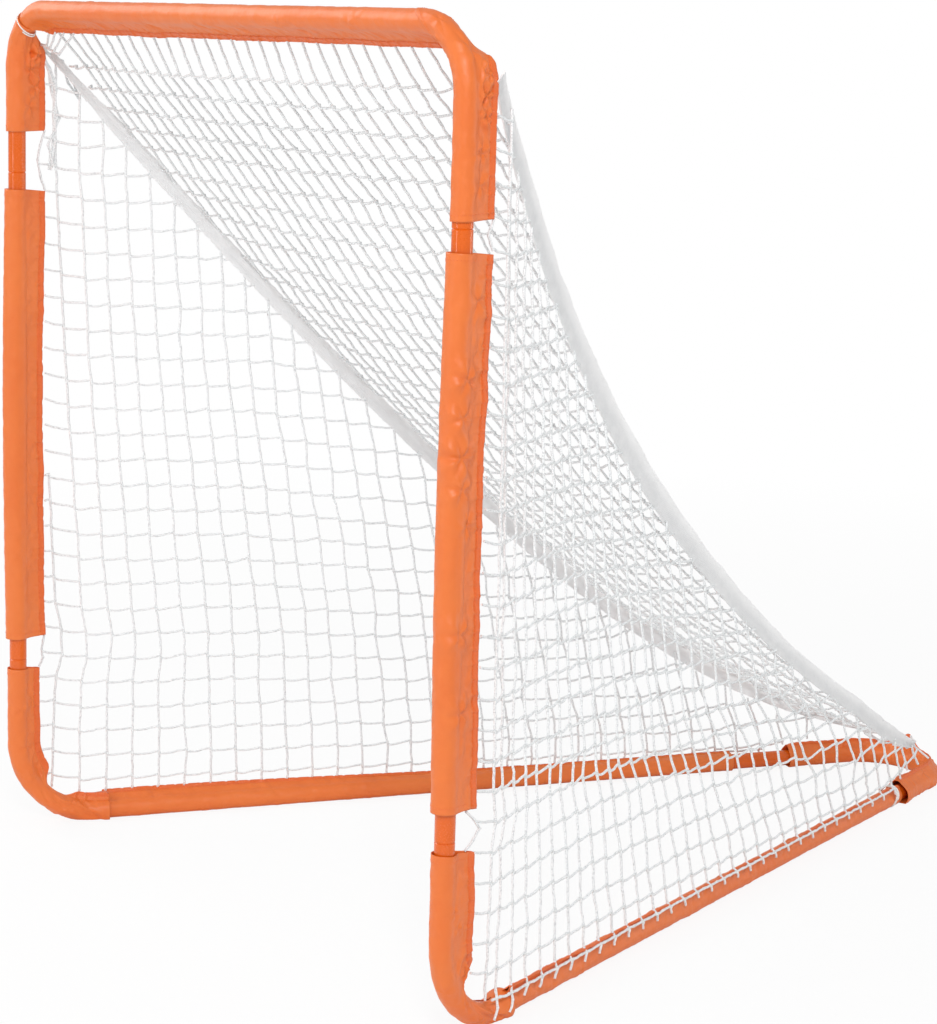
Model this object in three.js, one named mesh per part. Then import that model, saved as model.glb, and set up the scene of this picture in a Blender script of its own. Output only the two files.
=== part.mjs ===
// Portable lacrosse goal: a slip-together tube frame in sewn sleeves, with a three-panel net.
// Millimetres. +X is to the shooter's right, +Y runs back to the rear point, +Z is up.
import * as THREE from "three";

// Driving dimensions of the frame
const OVERALL_HEIGHT = 1219;
const POST_SPACING = 1047;
const RAIL_MEETING_DEPTH = 1602; // where the two base rails' lines would cross, behind the posts
const TUBE_DIAMETER = 25;
const TUBE_WALL = 1.2;
const TOP_BEND_RADIUS = 80;
const BASE_BEND_RADIUS = 117;
const REAR_BEND_RADIUS = 95;
const SPIGOT_LENGTH = 60;
const SPIGOT_TIP_CHAMFER = 1;
const CLEARANCE = 0.3;

// Places of the slip joints
const UPPER_JOINT_DROP = 229; // below the crossbar's axis
const LOWER_JOINT_HEIGHT = 256;
const CROSSBAR_ELBOW_LEG = 149; // straight run from the top bend to the crossbar joint
const RAIL_ELBOW_LEG = 126; // straight run from the base bend to the rail joint
const REAR_ELBOW_LEG = 148; // straight run from the rear bend to the rail joint

// Sewn sleeves
const FABRIC = 1;
const FLAP_HALF_THICKNESS = 1.2;
const SEAM_WIDTH = 11; // sewn band along a flap's edge
const POST_FLAP_REACH = 46; // from the tube's axis to the flap's edge
const CROSSBAR_FLAP_REACH = 46;
const CROSSBAR_FLAP_DROP = THREE.MathUtils.degToRad(49); // below the horizontal, towards the back
const RAIL_FLAP_REACH = 24;
const RAIL_FLAP_LEAN = THREE.MathUtils.degToRad(30); // from upright, outwards
const RAIL_SEAM_WIDTH = 5;
const FLAP_RUN_IN = 32; // length over which a flap opens out of a plain sleeve
const LEFT_CORNER_HEM_RISE = 58; // above the upper joint
const RIGHT_CORNER_HEM_RISE = 8;
const POST_SLEEVE_TOP_DROP = 24; // below the upper joint
const POST_SLEEVE_FOOT_RISE = 32; // above the lower joint
const BASE_CORNER_HEM_DROP = 14; // below the lower joint
const CROSSBAR_SLEEVE_END_INSET = 81; // from the post's axis
const RAIL_SLEEVE_START = 140; // along the rail from the post's axis
const RAIL_SLEEVE_SETBACK = 52; // from the rear joint forwards
const REAR_SLEEVE_SETBACK = 41; // from the rear joint backwards
const REAR_SLEEVE_HALF_WIDTH = 17.5;
const REAR_SLEEVE_RISE = 18; // above the tube's axis, without the flap
const REAR_FLAP_REACH = 28;

// Net and its seam bands
const NET_THICKNESS = 3;
const NET_BAR_WIDTH = 5;
const NET_STEPS = 10;
const SEAM_TOP_REACH = 57; // along the rail's line, from the post's axis
const SEAM_TOP_DROP = 63; // below the crossbar's axis
const SEAM_FOOT_HALF_GAP = 12; // half the distance between the two bands' lower ends
const SEAM_FOOT_INSET = 13; // from the rear bend's axis forwards
const SEAM_FOOT_HEIGHT = 58;
const SEAM_PULL = 88; // how far the back panel's tension draws a seam inwards
const SEAM_DROOP_SHARE = 1.53;
const SEAM_PULL_SHARE = 0.85;
const SEAM_PULL_END_SHARE = 0.74; // below here the seam runs straight above its rail
const SEAM_GATHER_SHARE = 14;
const BAND_WIDTH = 28;
const BAND_THICKNESS = 2.4;
const BACK_NET_SAG = 22;
const BACK_NET_CORNER_INSET = 53; // from the post's axis to the back panel's top corner
const NET_CORNER_CUT = 80; // how far the net's front foot stays off the base bend's centre

// Cords
const TIE_CORD_DIAMETER = 2.6;
const TIE_LOOP_TURN_SHARE = 0.5; // where on the left top bend the tie lies
const LASHING_DIAMETER = 4;

// Counts
const TUBE_SIDES = 12;
const BEND_STEPS = 6;
const REAR_BEND_STEPS = 9;
const RIGHT_FLAP_STEPS = { full: 2, closed: 3 }; // steps of the top bend at which the flap narrows and ends
const LEFT_FLAP_STEPS = { full: 1, closed: 2 }; // the tie gathers this one
const BASE_FLAP_STEPS = { full: 0, closed: 3 };
const TIE_SECTION_SIDES = 6;
const TIE_LOOP_STEPS = 20;

// Radii worked out from the sizes above
const TUBE_RADIUS = TUBE_DIAMETER / 2;
const BORE_RADIUS = TUBE_RADIUS - TUBE_WALL;
const SPIGOT_RADIUS = BORE_RADIUS - CLEARANCE;
const SPIGOT_BORE_RADIUS = SPIGOT_RADIUS - TUBE_WALL;
const SLEEVE_BORE_RADIUS = TUBE_RADIUS + CLEARANCE;
const SLEEVE_RADIUS = SLEEVE_BORE_RADIUS + FABRIC;

// Where the frame's axes lie
const HALF_SPACING = POST_SPACING / 2;
const AXIS_TOP = OVERALL_HEIGHT - SLEEVE_RADIUS;
const AXIS_FOOT = SLEEVE_RADIUS;
const UPPER_JOINT_HEIGHT = AXIS_TOP - UPPER_JOINT_DROP;
const POST_SLEEVE_TOP = UPPER_JOINT_HEIGHT - POST_SLEEVE_TOP_DROP;
const POST_SLEEVE_FOOT = LOWER_JOINT_HEIGHT + POST_SLEEVE_FOOT_RISE;
const BASE_CORNER_HEM_HEIGHT = LOWER_JOINT_HEIGHT - BASE_CORNER_HEM_DROP;
const SEAM_TOP_HEIGHT = AXIS_TOP - SEAM_TOP_DROP;
const RAIL_RUN = Math.hypot(HALF_SPACING, RAIL_MEETING_DEPTH);
const RAIL_SIDEWAYS_SHARE = HALF_SPACING / RAIL_RUN;
const RAIL_BACKWARDS_SHARE = RAIL_MEETING_DEPTH / RAIL_RUN;
const RAIL_SPLAY = Math.atan2(HALF_SPACING, RAIL_MEETING_DEPTH);
const CROSSBAR_JOINT = HALF_SPACING - TOP_BEND_RADIUS - CROSSBAR_ELBOW_LEG;
const RAIL_JOINT_REACH = BASE_BEND_RADIUS + RAIL_ELBOW_LEG;
const REAR_BEND_SETBACK = REAR_BEND_RADIUS / Math.tan(RAIL_SPLAY);
const REAR_JOINT_REACH = RAIL_RUN - REAR_BEND_SETBACK - REAR_ELBOW_LEG;
const RAIL_SLEEVE_END = REAR_JOINT_REACH - RAIL_SLEEVE_SETBACK;
const REAR_SLEEVE_START = REAR_JOINT_REACH + REAR_SLEEVE_SETBACK;
const REAR_BEND_DEPTH = RAIL_MEETING_DEPTH - REAR_BEND_RADIUS / RAIL_SIDEWAYS_SHARE + REAR_BEND_RADIUS;

const UP = new THREE.Vector3(0, 0, 1);
const BACK = new THREE.Vector3(0, 1, 0);
const RIGHT = new THREE.Vector3(1, 0, 0);
const SIDES = { left: -1, right: 1 };

// Finishes
const TUBE_FINISH = { color: 0xe2581c, roughness: 0.28, metalness: 0.25 };
const SLEEVE_FINISH = { color: 0xf07a3c, roughness: 0.5, metalness: 0 };
const NET_FINISH = { color: 0xf4f4f1, roughness: 0.85, metalness: 0 };
const BAND_FINISH = { color: 0xdcdcda, roughness: 0.8, metalness: 0 };
const CORD_FINISH = { color: 0xf1efe8, roughness: 0.8, metalness: 0 };

// A point beside one base rail: reach along it, inward distance from its upright plane, and height
function besideRail(side, reach, inward, height) {
  const x = HALF_SPACING - reach * RAIL_SIDEWAYS_SHARE - inward * RAIL_BACKWARDS_SHARE;
  const y = reach * RAIL_BACKWARDS_SHARE - inward * RAIL_SIDEWAYS_SHARE;
  return new THREE.Vector3(side * x, y, height);
}

function railDirection(side) {
  return new THREE.Vector3(-side * RAIL_SIDEWAYS_SHARE, RAIL_BACKWARDS_SHARE, 0);
}

function inwardFromRail(side) {
  return new THREE.Vector3(-side * RAIL_BACKWARDS_SHARE, -RAIL_SIDEWAYS_SHARE, 0);
}

// Straight runs joined by one round bend, all in one plane
class Route {
  constructor(corners, planeNormal, bendRadius, bendSteps) {
    this.normal = planeNormal;
    this.pieces = [];
    this.bendStations = [];
    const [start, corner, end] = corners.length === 3 ? corners : [corners[0], null, corners[1]];
    if (!corner) {
      this.addLine(start, end);
      return;
    }
    const before = corner.clone().sub(start).normalize();
    const after = end.clone().sub(corner).normalize();
    const turn = before.angleTo(after);
    const setback = bendRadius * Math.tan(turn / 2);
    const bendStart = corner.clone().addScaledVector(before, -setback);
    const bendEnd = corner.clone().addScaledVector(after, setback);
    const inner = after.clone().addScaledVector(before, -after.dot(before)).normalize();
    this.addLine(start, bendStart);
    this.addBend(bendStart, before, inner, turn, bendRadius, bendSteps);
    this.addLine(bendEnd, end);
  }

  get length() {
    const last = this.pieces[this.pieces.length - 1];
    return last.from + last.length;
  }

  addLine(start, end) {
    const from = this.pieces.length ? this.length : 0;
    const direction = end.clone().sub(start).normalize();
    this.pieces.push({ from, length: start.distanceTo(end), start, direction });
  }

  addBend(start, before, inner, turn, radius, steps) {
    const from = this.length;
    this.pieces.push({ from, length: radius * turn, start, before, inner, radius });
    for (let step = 0; step <= steps; step += 1) {
      this.bendStations.push(from + (radius * turn * step) / steps);
    }
  }

  // Place and direction at a distance along the route
  at(distance) {
    const reached = this.pieces.filter((piece) => piece.from <= distance);
    const piece = reached.length ? reached[reached.length - 1] : this.pieces[0];
    const along = distance - piece.from;
    if (piece.direction) {
      const point = piece.start.clone().addScaledVector(piece.direction, along);
      return { point, direction: piece.direction.clone() };
    }
    const angle = along / piece.radius;
    const point = piece.start.clone().addScaledVector(piece.before, piece.radius * Math.sin(angle));
    point.addScaledVector(piece.inner, piece.radius * (1 - Math.cos(angle)));
    const direction = piece.before.clone().multiplyScalar(Math.cos(angle));
    return { point, direction: direction.addScaledVector(piece.inner, Math.sin(angle)) };
  }

  // The route's stations between two distances, with the bend's own steps and any extra ones
  stations(from, to, extra = []) {
    const inside = [...this.bendStations, ...extra].filter((d) => d > from && d < to);
    const sorted = [from, ...inside.sort((a, b) => a - b), to];
    return sorted.filter((d, index) => index === 0 || d - sorted[index - 1] > CLEARANCE);
  }
}

// Closed geometry from vertices and faces, turned so that its faces point out
function closedGeometry(vertices, faces) {
  let volume = 0;
  for (const [a, b, c] of faces) {
    volume += vertices[a].dot(vertices[b].clone().cross(vertices[c]));
  }
  const outward = volume < 0 ? faces.map(([a, b, c]) => [a, c, b]) : faces;
  const geometry = new THREE.BufferGeometry();
  geometry.setFromPoints(vertices);
  geometry.setIndex(outward.flat());
  geometry.computeVertexNormals();
  return geometry;
}

// Skin over a row of equal rings: joined end to end when looped, and capped otherwise
function loft(rings, looped) {
  const count = rings[0].length;
  const vertices = rings.flat();
  const faces = [];
  const spans = looped ? rings.length : rings.length - 1;
  for (let ring = 0; ring < spans; ring += 1) {
    const here = ring * count;
    const next = ((ring + 1) % rings.length) * count;
    for (let k = 0; k < count; k += 1) {
      const turn = (k + 1) % count;
      faces.push([here + k, here + turn, next + turn], [here + k, next + turn, next + k]);
    }
  }
  if (!looped) {
    const last = (rings.length - 1) * count;
    for (let k = 1; k < count - 1; k += 1) {
      faces.push([0, k + 1, k], [last, last + k, last + k + 1]);
    }
  }
  return closedGeometry(vertices, faces);
}

function roundRing(route, distance, radius) {
  const { point, direction } = route.at(distance);
  const across = route.normal.clone().cross(direction);
  return Array.from({ length: TUBE_SIDES }, (_, k) => {
    const angle = (2 * Math.PI * (k + 0.5)) / TUBE_SIDES;
    const spot = point.clone().addScaledVector(across, radius * Math.cos(angle));
    return spot.addScaledVector(route.normal, radius * Math.sin(angle));
  });
}

// Tube along a route with a reduced spigot at each end
function spigotTube(route) {
  const end = route.length;
  const shoulders = [SPIGOT_LENGTH, end - SPIGOT_LENGTH];
  const boreWidens = SPIGOT_RADIUS / Math.cos(Math.PI / TUBE_SIDES) - SPIGOT_RADIUS;
  const outer = [
    [0, SPIGOT_RADIUS - SPIGOT_TIP_CHAMFER / 2],
    [SPIGOT_TIP_CHAMFER, SPIGOT_RADIUS],
    [shoulders[0], SPIGOT_RADIUS],
    [shoulders[0], TUBE_RADIUS],
    ...route.stations(shoulders[0], shoulders[1]).slice(1, -1).map((d) => [d, TUBE_RADIUS]),
    [shoulders[1], TUBE_RADIUS],
    [shoulders[1], SPIGOT_RADIUS],
    [end - SPIGOT_TIP_CHAMFER, SPIGOT_RADIUS],
    [end, SPIGOT_RADIUS - SPIGOT_TIP_CHAMFER / 2],
  ];
  const taper = SPIGOT_RADIUS - SPIGOT_BORE_RADIUS + boreWidens;
  const widened = [shoulders[0] + taper, shoulders[1] - taper];
  const inner = [
    [0, SPIGOT_BORE_RADIUS],
    [shoulders[0], SPIGOT_BORE_RADIUS],
    ...route.stations(widened[0], widened[1]).map((d) => [d, BORE_RADIUS]),
    [shoulders[1], SPIGOT_BORE_RADIUS],
    [end, SPIGOT_BORE_RADIUS],
  ];
  const rings = [...outer, ...inner.reverse()].map(([d, radius]) => roundRing(route, d, radius));
  return loft(rings, true);
}

// Plain tube between two points, open for a spigot at each end
function socketTube(start, end, normal) {
  const route = new Route([start, end], normal);
  const from = CLEARANCE;
  const to = route.length - CLEARANCE;
  const bore = BORE_RADIUS / Math.cos(Math.PI / TUBE_SIDES);
  const rings = [
    roundRing(route, from, TUBE_RADIUS),
    roundRing(route, to, TUBE_RADIUS),
    roundRing(route, to, bore),
    roundRing(route, from, bore),
  ];
  return loft(rings, true);
}

// Twelve outline points of a sewn sleeve, as [across, towards the flap], and of the space inside it.
// The four points nearest the flap open from the plain round outline to the sewn edge.
function sleeveOutlines({ reach, seam, open, halfWidth = SLEEVE_RADIUS, rise = SLEEVE_RADIUS }) {
  const fillet = 1 / Math.cos(Math.PI / TUBE_SIDES);
  const outline = (wall) => Array.from({ length: TUBE_SIDES }, (_, k) => {
    const angle = (2 * Math.PI * (k + 0.5)) / TUBE_SIDES;
    const along = Math.cos(angle) > 0 ? rise : SLEEVE_RADIUS;
    return [(halfWidth - wall) * fillet * Math.sin(angle), (along - wall) * fillet * Math.cos(angle)];
  });
  const ridge = reach - seam - 2 * FABRIC;
  const turned = reach - seam > 2 * SLEEVE_RADIUS ? 2 : 1; // a long flap turns two pairs of points
  const sewn = [[FLAP_HALF_THICKNESS, reach], [2 * FLAP_HALF_THICKNESS, reach - seam]].slice(0, turned);
  const hollow = [[CLEARANCE, ridge], [FABRIC, ridge - 2 * FABRIC]].slice(0, turned);
  const opened = (points, edge) => points.map(([across, along], k) => {
    const fromFlap = Math.min(k, TUBE_SIDES - 1 - k);
    if (fromFlap >= edge.length) return [across, along];
    const hand = k < TUBE_SIDES / 2 ? 1 : -1;
    const [edgeAcross, edgeAlong] = edge[fromFlap];
    return [
      THREE.MathUtils.lerp(across, hand * edgeAcross, open),
      THREE.MathUtils.lerp(along, edgeAlong, open),
    ];
  });
  return { outside: opened(outline(0), sewn), inside: opened(outline(FABRIC), hollow) };
}

// Sleeve along a route. shapeAt gives its section and flap direction at each distance.
function sleeve(route, stations, shapeAt) {
  const place = (distance, outline, flap) => {
    const { point, direction } = route.at(distance);
    const across = direction.clone().cross(flap);
    return outline.map(([u, v]) => point.clone().addScaledVector(across, u).addScaledVector(flap, v));
  };
  const shaped = stations.map((distance) => {
    const shape = shapeAt(distance);
    const { outside, inside } = sleeveOutlines(shape);
    return {
      outside: place(distance, outside, shape.flap),
      inside: place(distance, inside, shape.flap),
    };
  });
  const outer = shaped.map((ring) => ring.outside);
  const inner = shaped.map((ring) => ring.inside).reverse();
  return loft([...outer, ...inner], true);
}

function ramp(value, from, to) {
  return THREE.MathUtils.clamp((value - from) / (to - from), 0, 1);
}

// Routes of the tubes, from spigot tip to spigot tip
function topElbowRoute(side) {
  const post = side * HALF_SPACING;
  return new Route(
    [
      new THREE.Vector3(post, 0, UPPER_JOINT_HEIGHT - SPIGOT_LENGTH),
      new THREE.Vector3(post, 0, AXIS_TOP),
      new THREE.Vector3(side * (CROSSBAR_JOINT - SPIGOT_LENGTH), 0, AXIS_TOP),
    ],
    BACK,
    TOP_BEND_RADIUS,
    BEND_STEPS,
  );
}

function baseElbowRoute(side) {
  return new Route(
    [
      besideRail(side, 0, 0, LOWER_JOINT_HEIGHT + SPIGOT_LENGTH),
      besideRail(side, 0, 0, AXIS_FOOT),
      besideRail(side, RAIL_JOINT_REACH + SPIGOT_LENGTH, 0, AXIS_FOOT),
    ],
    inwardFromRail(side),
    BASE_BEND_RADIUS,
    BEND_STEPS,
  );
}

function rearRoute() {
  const tip = REAR_JOINT_REACH - SPIGOT_LENGTH;
  return new Route(
    [
      besideRail(SIDES.left, tip, 0, AXIS_FOOT),
      new THREE.Vector3(0, RAIL_MEETING_DEPTH, AXIS_FOOT),
      besideRail(SIDES.right, tip, 0, AXIS_FOOT),
    ],
    UP,
    REAR_BEND_RADIUS,
    REAR_BEND_STEPS,
  );
}

// Sleeves of one top corner, post, base corner and base rail
function topCornerSleeve(side, hemRise, flapSteps) {
  const route = topElbowRoute(side);
  const foot = hemRise + SPIGOT_LENGTH;
  const bend = route.bendStations;
  const crossbarEnd = HALF_SPACING - CROSSBAR_SLEEVE_END_INSET + CLEARANCE;
  const head = route.length - (crossbarEnd - CROSSBAR_JOINT + SPIGOT_LENGTH);
  return sleeve(route, route.stations(foot, head), (distance) => ({
    reach: POST_FLAP_REACH,
    seam: SEAM_WIDTH,
    open: 1 - ramp(distance, bend[flapSteps.full], bend[flapSteps.closed]),
    flap: BACK,
  }));
}

function postSleeve(side) {
  const post = side * HALF_SPACING;
  const foot = new THREE.Vector3(post, 0, POST_SLEEVE_FOOT);
  const head = new THREE.Vector3(post, 0, POST_SLEEVE_TOP);
  const route = new Route([foot, head], BACK);
  const shape = { reach: POST_FLAP_REACH, seam: SEAM_WIDTH, open: 1, flap: BACK };
  return sleeve(route, [0, route.length], () => shape);
}

function crossbarSleeve() {
  const end = HALF_SPACING - CROSSBAR_SLEEVE_END_INSET;
  const left = new THREE.Vector3(-end, 0, AXIS_TOP);
  const right = new THREE.Vector3(end, 0, AXIS_TOP);
  const route = new Route([left, right], BACK);
  const stations = [0, FLAP_RUN_IN, route.length - FLAP_RUN_IN, route.length];
  return sleeve(route, stations, (distance) => ({
    reach: CROSSBAR_FLAP_REACH,
    seam: SEAM_WIDTH,
    open: distance > 0 && distance < route.length ? 1 : 0.6,
    flap: crossbarFlap(),
  }));
}

function crossbarFlap() {
  return new THREE.Vector3(0, Math.cos(CROSSBAR_FLAP_DROP), -Math.sin(CROSSBAR_FLAP_DROP));
}

function baseCornerSleeve(side) {
  const route = baseElbowRoute(side);
  const head = LOWER_JOINT_HEIGHT + SPIGOT_LENGTH - BASE_CORNER_HEM_HEIGHT;
  const bend = route.bendStations;
  const bendStart = bend[0];
  const bendEnd = bend[BEND_STEPS];
  const foot = bendEnd + RAIL_SLEEVE_START - BASE_BEND_RADIUS;
  const outward = inwardFromRail(side).negate();
  return sleeve(route, route.stations(head, foot), (distance) => {
    const { direction } = route.at(distance);
    const inner = direction.clone().cross(outward).normalize();
    if (inner.dot(UP) < 0 || inner.dot(railDirection(side)) < 0) inner.negate();
    const lean = RAIL_SPLAY * (1 - ramp(distance, bendStart, bendEnd));
    const flap = inner.multiplyScalar(Math.cos(lean)).addScaledVector(outward, Math.sin(lean));
    const open = 1 - ramp(distance, bend[BASE_FLAP_STEPS.full], bend[BASE_FLAP_STEPS.closed]);
    return { reach: POST_FLAP_REACH, seam: SEAM_WIDTH, open, flap };
  });
}

function railSleeve(side) {
  const start = besideRail(side, RAIL_SLEEVE_START + CLEARANCE, 0, AXIS_FOOT);
  const end = besideRail(side, RAIL_SLEEVE_END, 0, AXIS_FOOT);
  const route = new Route([start, end], UP);
  const outward = inwardFromRail(side).negate();
  const flap = UP.clone().multiplyScalar(Math.cos(RAIL_FLAP_LEAN));
  flap.addScaledVector(outward, Math.sin(RAIL_FLAP_LEAN));
  const shape = { reach: RAIL_FLAP_REACH, seam: RAIL_SEAM_WIDTH, open: 1, flap };
  return sleeve(route, [0, route.length], () => shape);
}

function rearSleeve() {
  const route = rearRoute();
  const tip = REAR_JOINT_REACH - SPIGOT_LENGTH;
  const from = REAR_SLEEVE_START - tip;
  const to = route.length - from;
  const opened = [from + FLAP_RUN_IN, to - FLAP_RUN_IN];
  return sleeve(route, route.stations(from, to, opened), (distance) => ({
    reach: REAR_FLAP_REACH,
    seam: RAIL_SEAM_WIDTH,
    open: ramp(Math.min(distance - from, to - distance), 0, FLAP_RUN_IN),
    halfWidth: REAR_SLEEVE_HALF_WIDTH,
    rise: REAR_SLEEVE_RISE,
    flap: UP,
  }));
}

// The seam line where a side panel and the back panel meet, from the top corner to the rear point
const SEAM_FOOT = (() => {
  const across = HALF_SPACING - SEAM_FOOT_HALF_GAP;
  const depth = REAR_BEND_DEPTH - SEAM_FOOT_INSET;
  return {
    reach: across * RAIL_SIDEWAYS_SHARE + depth * RAIL_BACKWARDS_SHARE,
    inward: across * RAIL_BACKWARDS_SHARE - depth * RAIL_SIDEWAYS_SHARE,
  };
})();
const POST_EDGE_INWARD = -POST_FLAP_REACH * RAIL_SIDEWAYS_SHARE;
const RAIL_EDGE_INWARD = -RAIL_FLAP_REACH * Math.sin(RAIL_FLAP_LEAN);
const RAIL_EDGE_HEIGHT = AXIS_FOOT + RAIL_FLAP_REACH * Math.cos(RAIL_FLAP_LEAN) + 2 * FABRIC;
const REAR_EDGE_HEIGHT = AXIS_FOOT + REAR_FLAP_REACH + CLEARANCE;

function seamAt(share) {
  const reach = THREE.MathUtils.lerp(SEAM_TOP_REACH, SEAM_FOOT.reach, share);
  const drop = (1 - share) ** SEAM_DROOP_SHARE;
  const height = THREE.MathUtils.lerp(SEAM_FOOT_HEIGHT, SEAM_TOP_HEIGHT, drop);
  const pulled = Math.min(share / SEAM_PULL_END_SHARE, 1) ** SEAM_PULL_SHARE;
  const pull = SEAM_PULL * Math.sin(Math.PI * pulled);
  const gather = (SEAM_FOOT.inward - POST_EDGE_INWARD) * share ** SEAM_GATHER_SHARE;
  return { reach, height, inward: POST_EDGE_INWARD + pull + gather };
}

// Unit step across the seam band, up and back, as [reach, height]
function acrossSeam(share) {
  const step = 1 / (NET_STEPS * NET_STEPS);
  const before = seamAt(Math.max(share - step, 0));
  const after = seamAt(Math.min(share + step, 1));
  const run = after.reach - before.reach;
  const rise = after.height - before.height;
  const length = Math.hypot(run, rise);
  return [-rise / length, run / length];
}

function besideSeam(share, across) {
  const seam = seamAt(share);
  const [reach, height] = acrossSeam(share);
  return {
    reach: seam.reach + across * reach,
    inward: seam.inward,
    height: seam.height + across * height,
  };
}

const SEAM_SHARES = Array.from({ length: NET_STEPS + 1 }, (_, k) => k / NET_STEPS);

function seamBand(side) {
  const inward = inwardFromRail(side).multiplyScalar(BAND_THICKNESS / 2);
  const rings = SEAM_SHARES.map((share) => {
    const edges = [-BAND_WIDTH / 2, BAND_WIDTH / 2].map((across) => {
      const spot = besideSeam(share, across);
      return besideRail(side, spot.reach, spot.inward, spot.height);
    });
    return [
      edges[0].clone().add(inward),
      edges[1].clone().add(inward),
      edges[1].clone().sub(inward),
      edges[0].clone().sub(inward),
    ];
  });
  return loft(rings, false);
}

// Net of square bars from cells of nodes. Each node has a place and the direction of its thickness.
function netSheet(cells) {
  const vertices = [];
  const faces = [];
  const addPair = (place, normal) => {
    vertices.push(place.clone().addScaledVector(normal, NET_THICKNESS / 2));
    vertices.push(place.clone().addScaledVector(normal, -NET_THICKNESS / 2));
    return vertices.length - 2;
  };
  const addQuad = (a, b, c, d) => faces.push([a, b, c], [a, c, d]);
  const knots = new Map();
  const knotOf = (node) => {
    if (!knots.has(node)) knots.set(node, addPair(node.place, node.normal));
    return knots.get(node);
  };
  const edgeUses = new Map();
  for (const cell of cells) {
    const outer = cell.map(knotOf);
    const inner = cell.map((node, k) => {
      const toNext = cell[(k + 1) % cell.length].place.clone().sub(node.place).normalize();
      const toLast = cell[(k + cell.length - 1) % cell.length].place.clone().sub(node.place).normalize();
      const inset = NET_BAR_WIDTH / 2 / Math.sin(toNext.angleTo(toLast));
      const place = node.place.clone().addScaledVector(toNext.add(toLast), inset);
      return addPair(place, node.normal);
    });
    cell.forEach((_, k) => {
      const next = (k + 1) % cell.length;
      addQuad(outer[k], outer[next], inner[next], inner[k]);
      addQuad(outer[next] + 1, outer[k] + 1, inner[k] + 1, inner[next] + 1);
      addQuad(inner[k], inner[next], inner[next] + 1, inner[k] + 1);
      const key = [outer[k], outer[next]].sort((a, b) => a - b).join();
      edgeUses.set(key, edgeUses.has(key) ? null : [outer[k], outer[next]]);
    });
  }
  for (const edge of edgeUses.values()) {
    if (edge) addQuad(edge[1], edge[0], edge[0] + 1, edge[1] + 1);
  }
  return closedGeometry(vertices, faces);
}

// Side panel: upright cords at the seam's own steps, and level cords at its heights there
function sideNet(side) {
  const normal = inwardFromRail(side);
  const seamEdge = SEAM_SHARES.map((share) => besideSeam(share, -BAND_WIDTH / 2 - CLEARANCE));
  const pitch = (SEAM_FOOT.reach - SEAM_TOP_REACH) / NET_STEPS;
  const overRear = (reach) => reach + pitch > REAR_SLEEVE_START;
  const footHeight = (reach) => (overRear(reach) ? REAR_EDGE_HEIGHT : RAIL_EDGE_HEIGHT);
  const footInward = (reach) => (overRear(reach) ? 0 : RAIL_EDGE_INWARD);
  const nodes = new Map();
  const node = (column, row) => {
    const key = `${column},${row}`;
    if (nodes.has(key)) return nodes.get(key);
    const head = seamEdge[column];
    const foot = footHeight(head.reach);
    let spot;
    if (column === row) {
      spot = { ...head };
    } else if (column === 0 && row === NET_STEPS) {
      const cut = NET_CORNER_CUT * Math.SQRT1_2;
      const height = AXIS_FOOT + BASE_BEND_RADIUS - cut;
      spot = { reach: BASE_BEND_RADIUS - cut, inward: RAIL_EDGE_INWARD, height };
    } else {
      const height = row === NET_STEPS ? foot : seamEdge[row].height;
      const share = ramp(height, foot, head.height);
      const inward = THREE.MathUtils.lerp(footInward(head.reach), head.inward, share);
      spot = { reach: head.reach, inward: column === 0 ? POST_EDGE_INWARD : inward, height };
    }
    nodes.set(key, { place: besideRail(side, spot.reach, spot.inward, spot.height), normal });
    return nodes.get(key);
  };
  const cells = [];
  for (let row = 0; row < NET_STEPS; row += 1) {
    for (let column = 0; column < row; column += 1) {
      cells.push([
        node(column, row),
        node(column, row + 1),
        node(column + 1, row + 1),
        node(column + 1, row),
      ]);
    }
    cells.push([node(row, row), node(row, row + 1), node(row + 1, row + 1)]);
  }
  return netSheet(cells);
}

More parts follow.
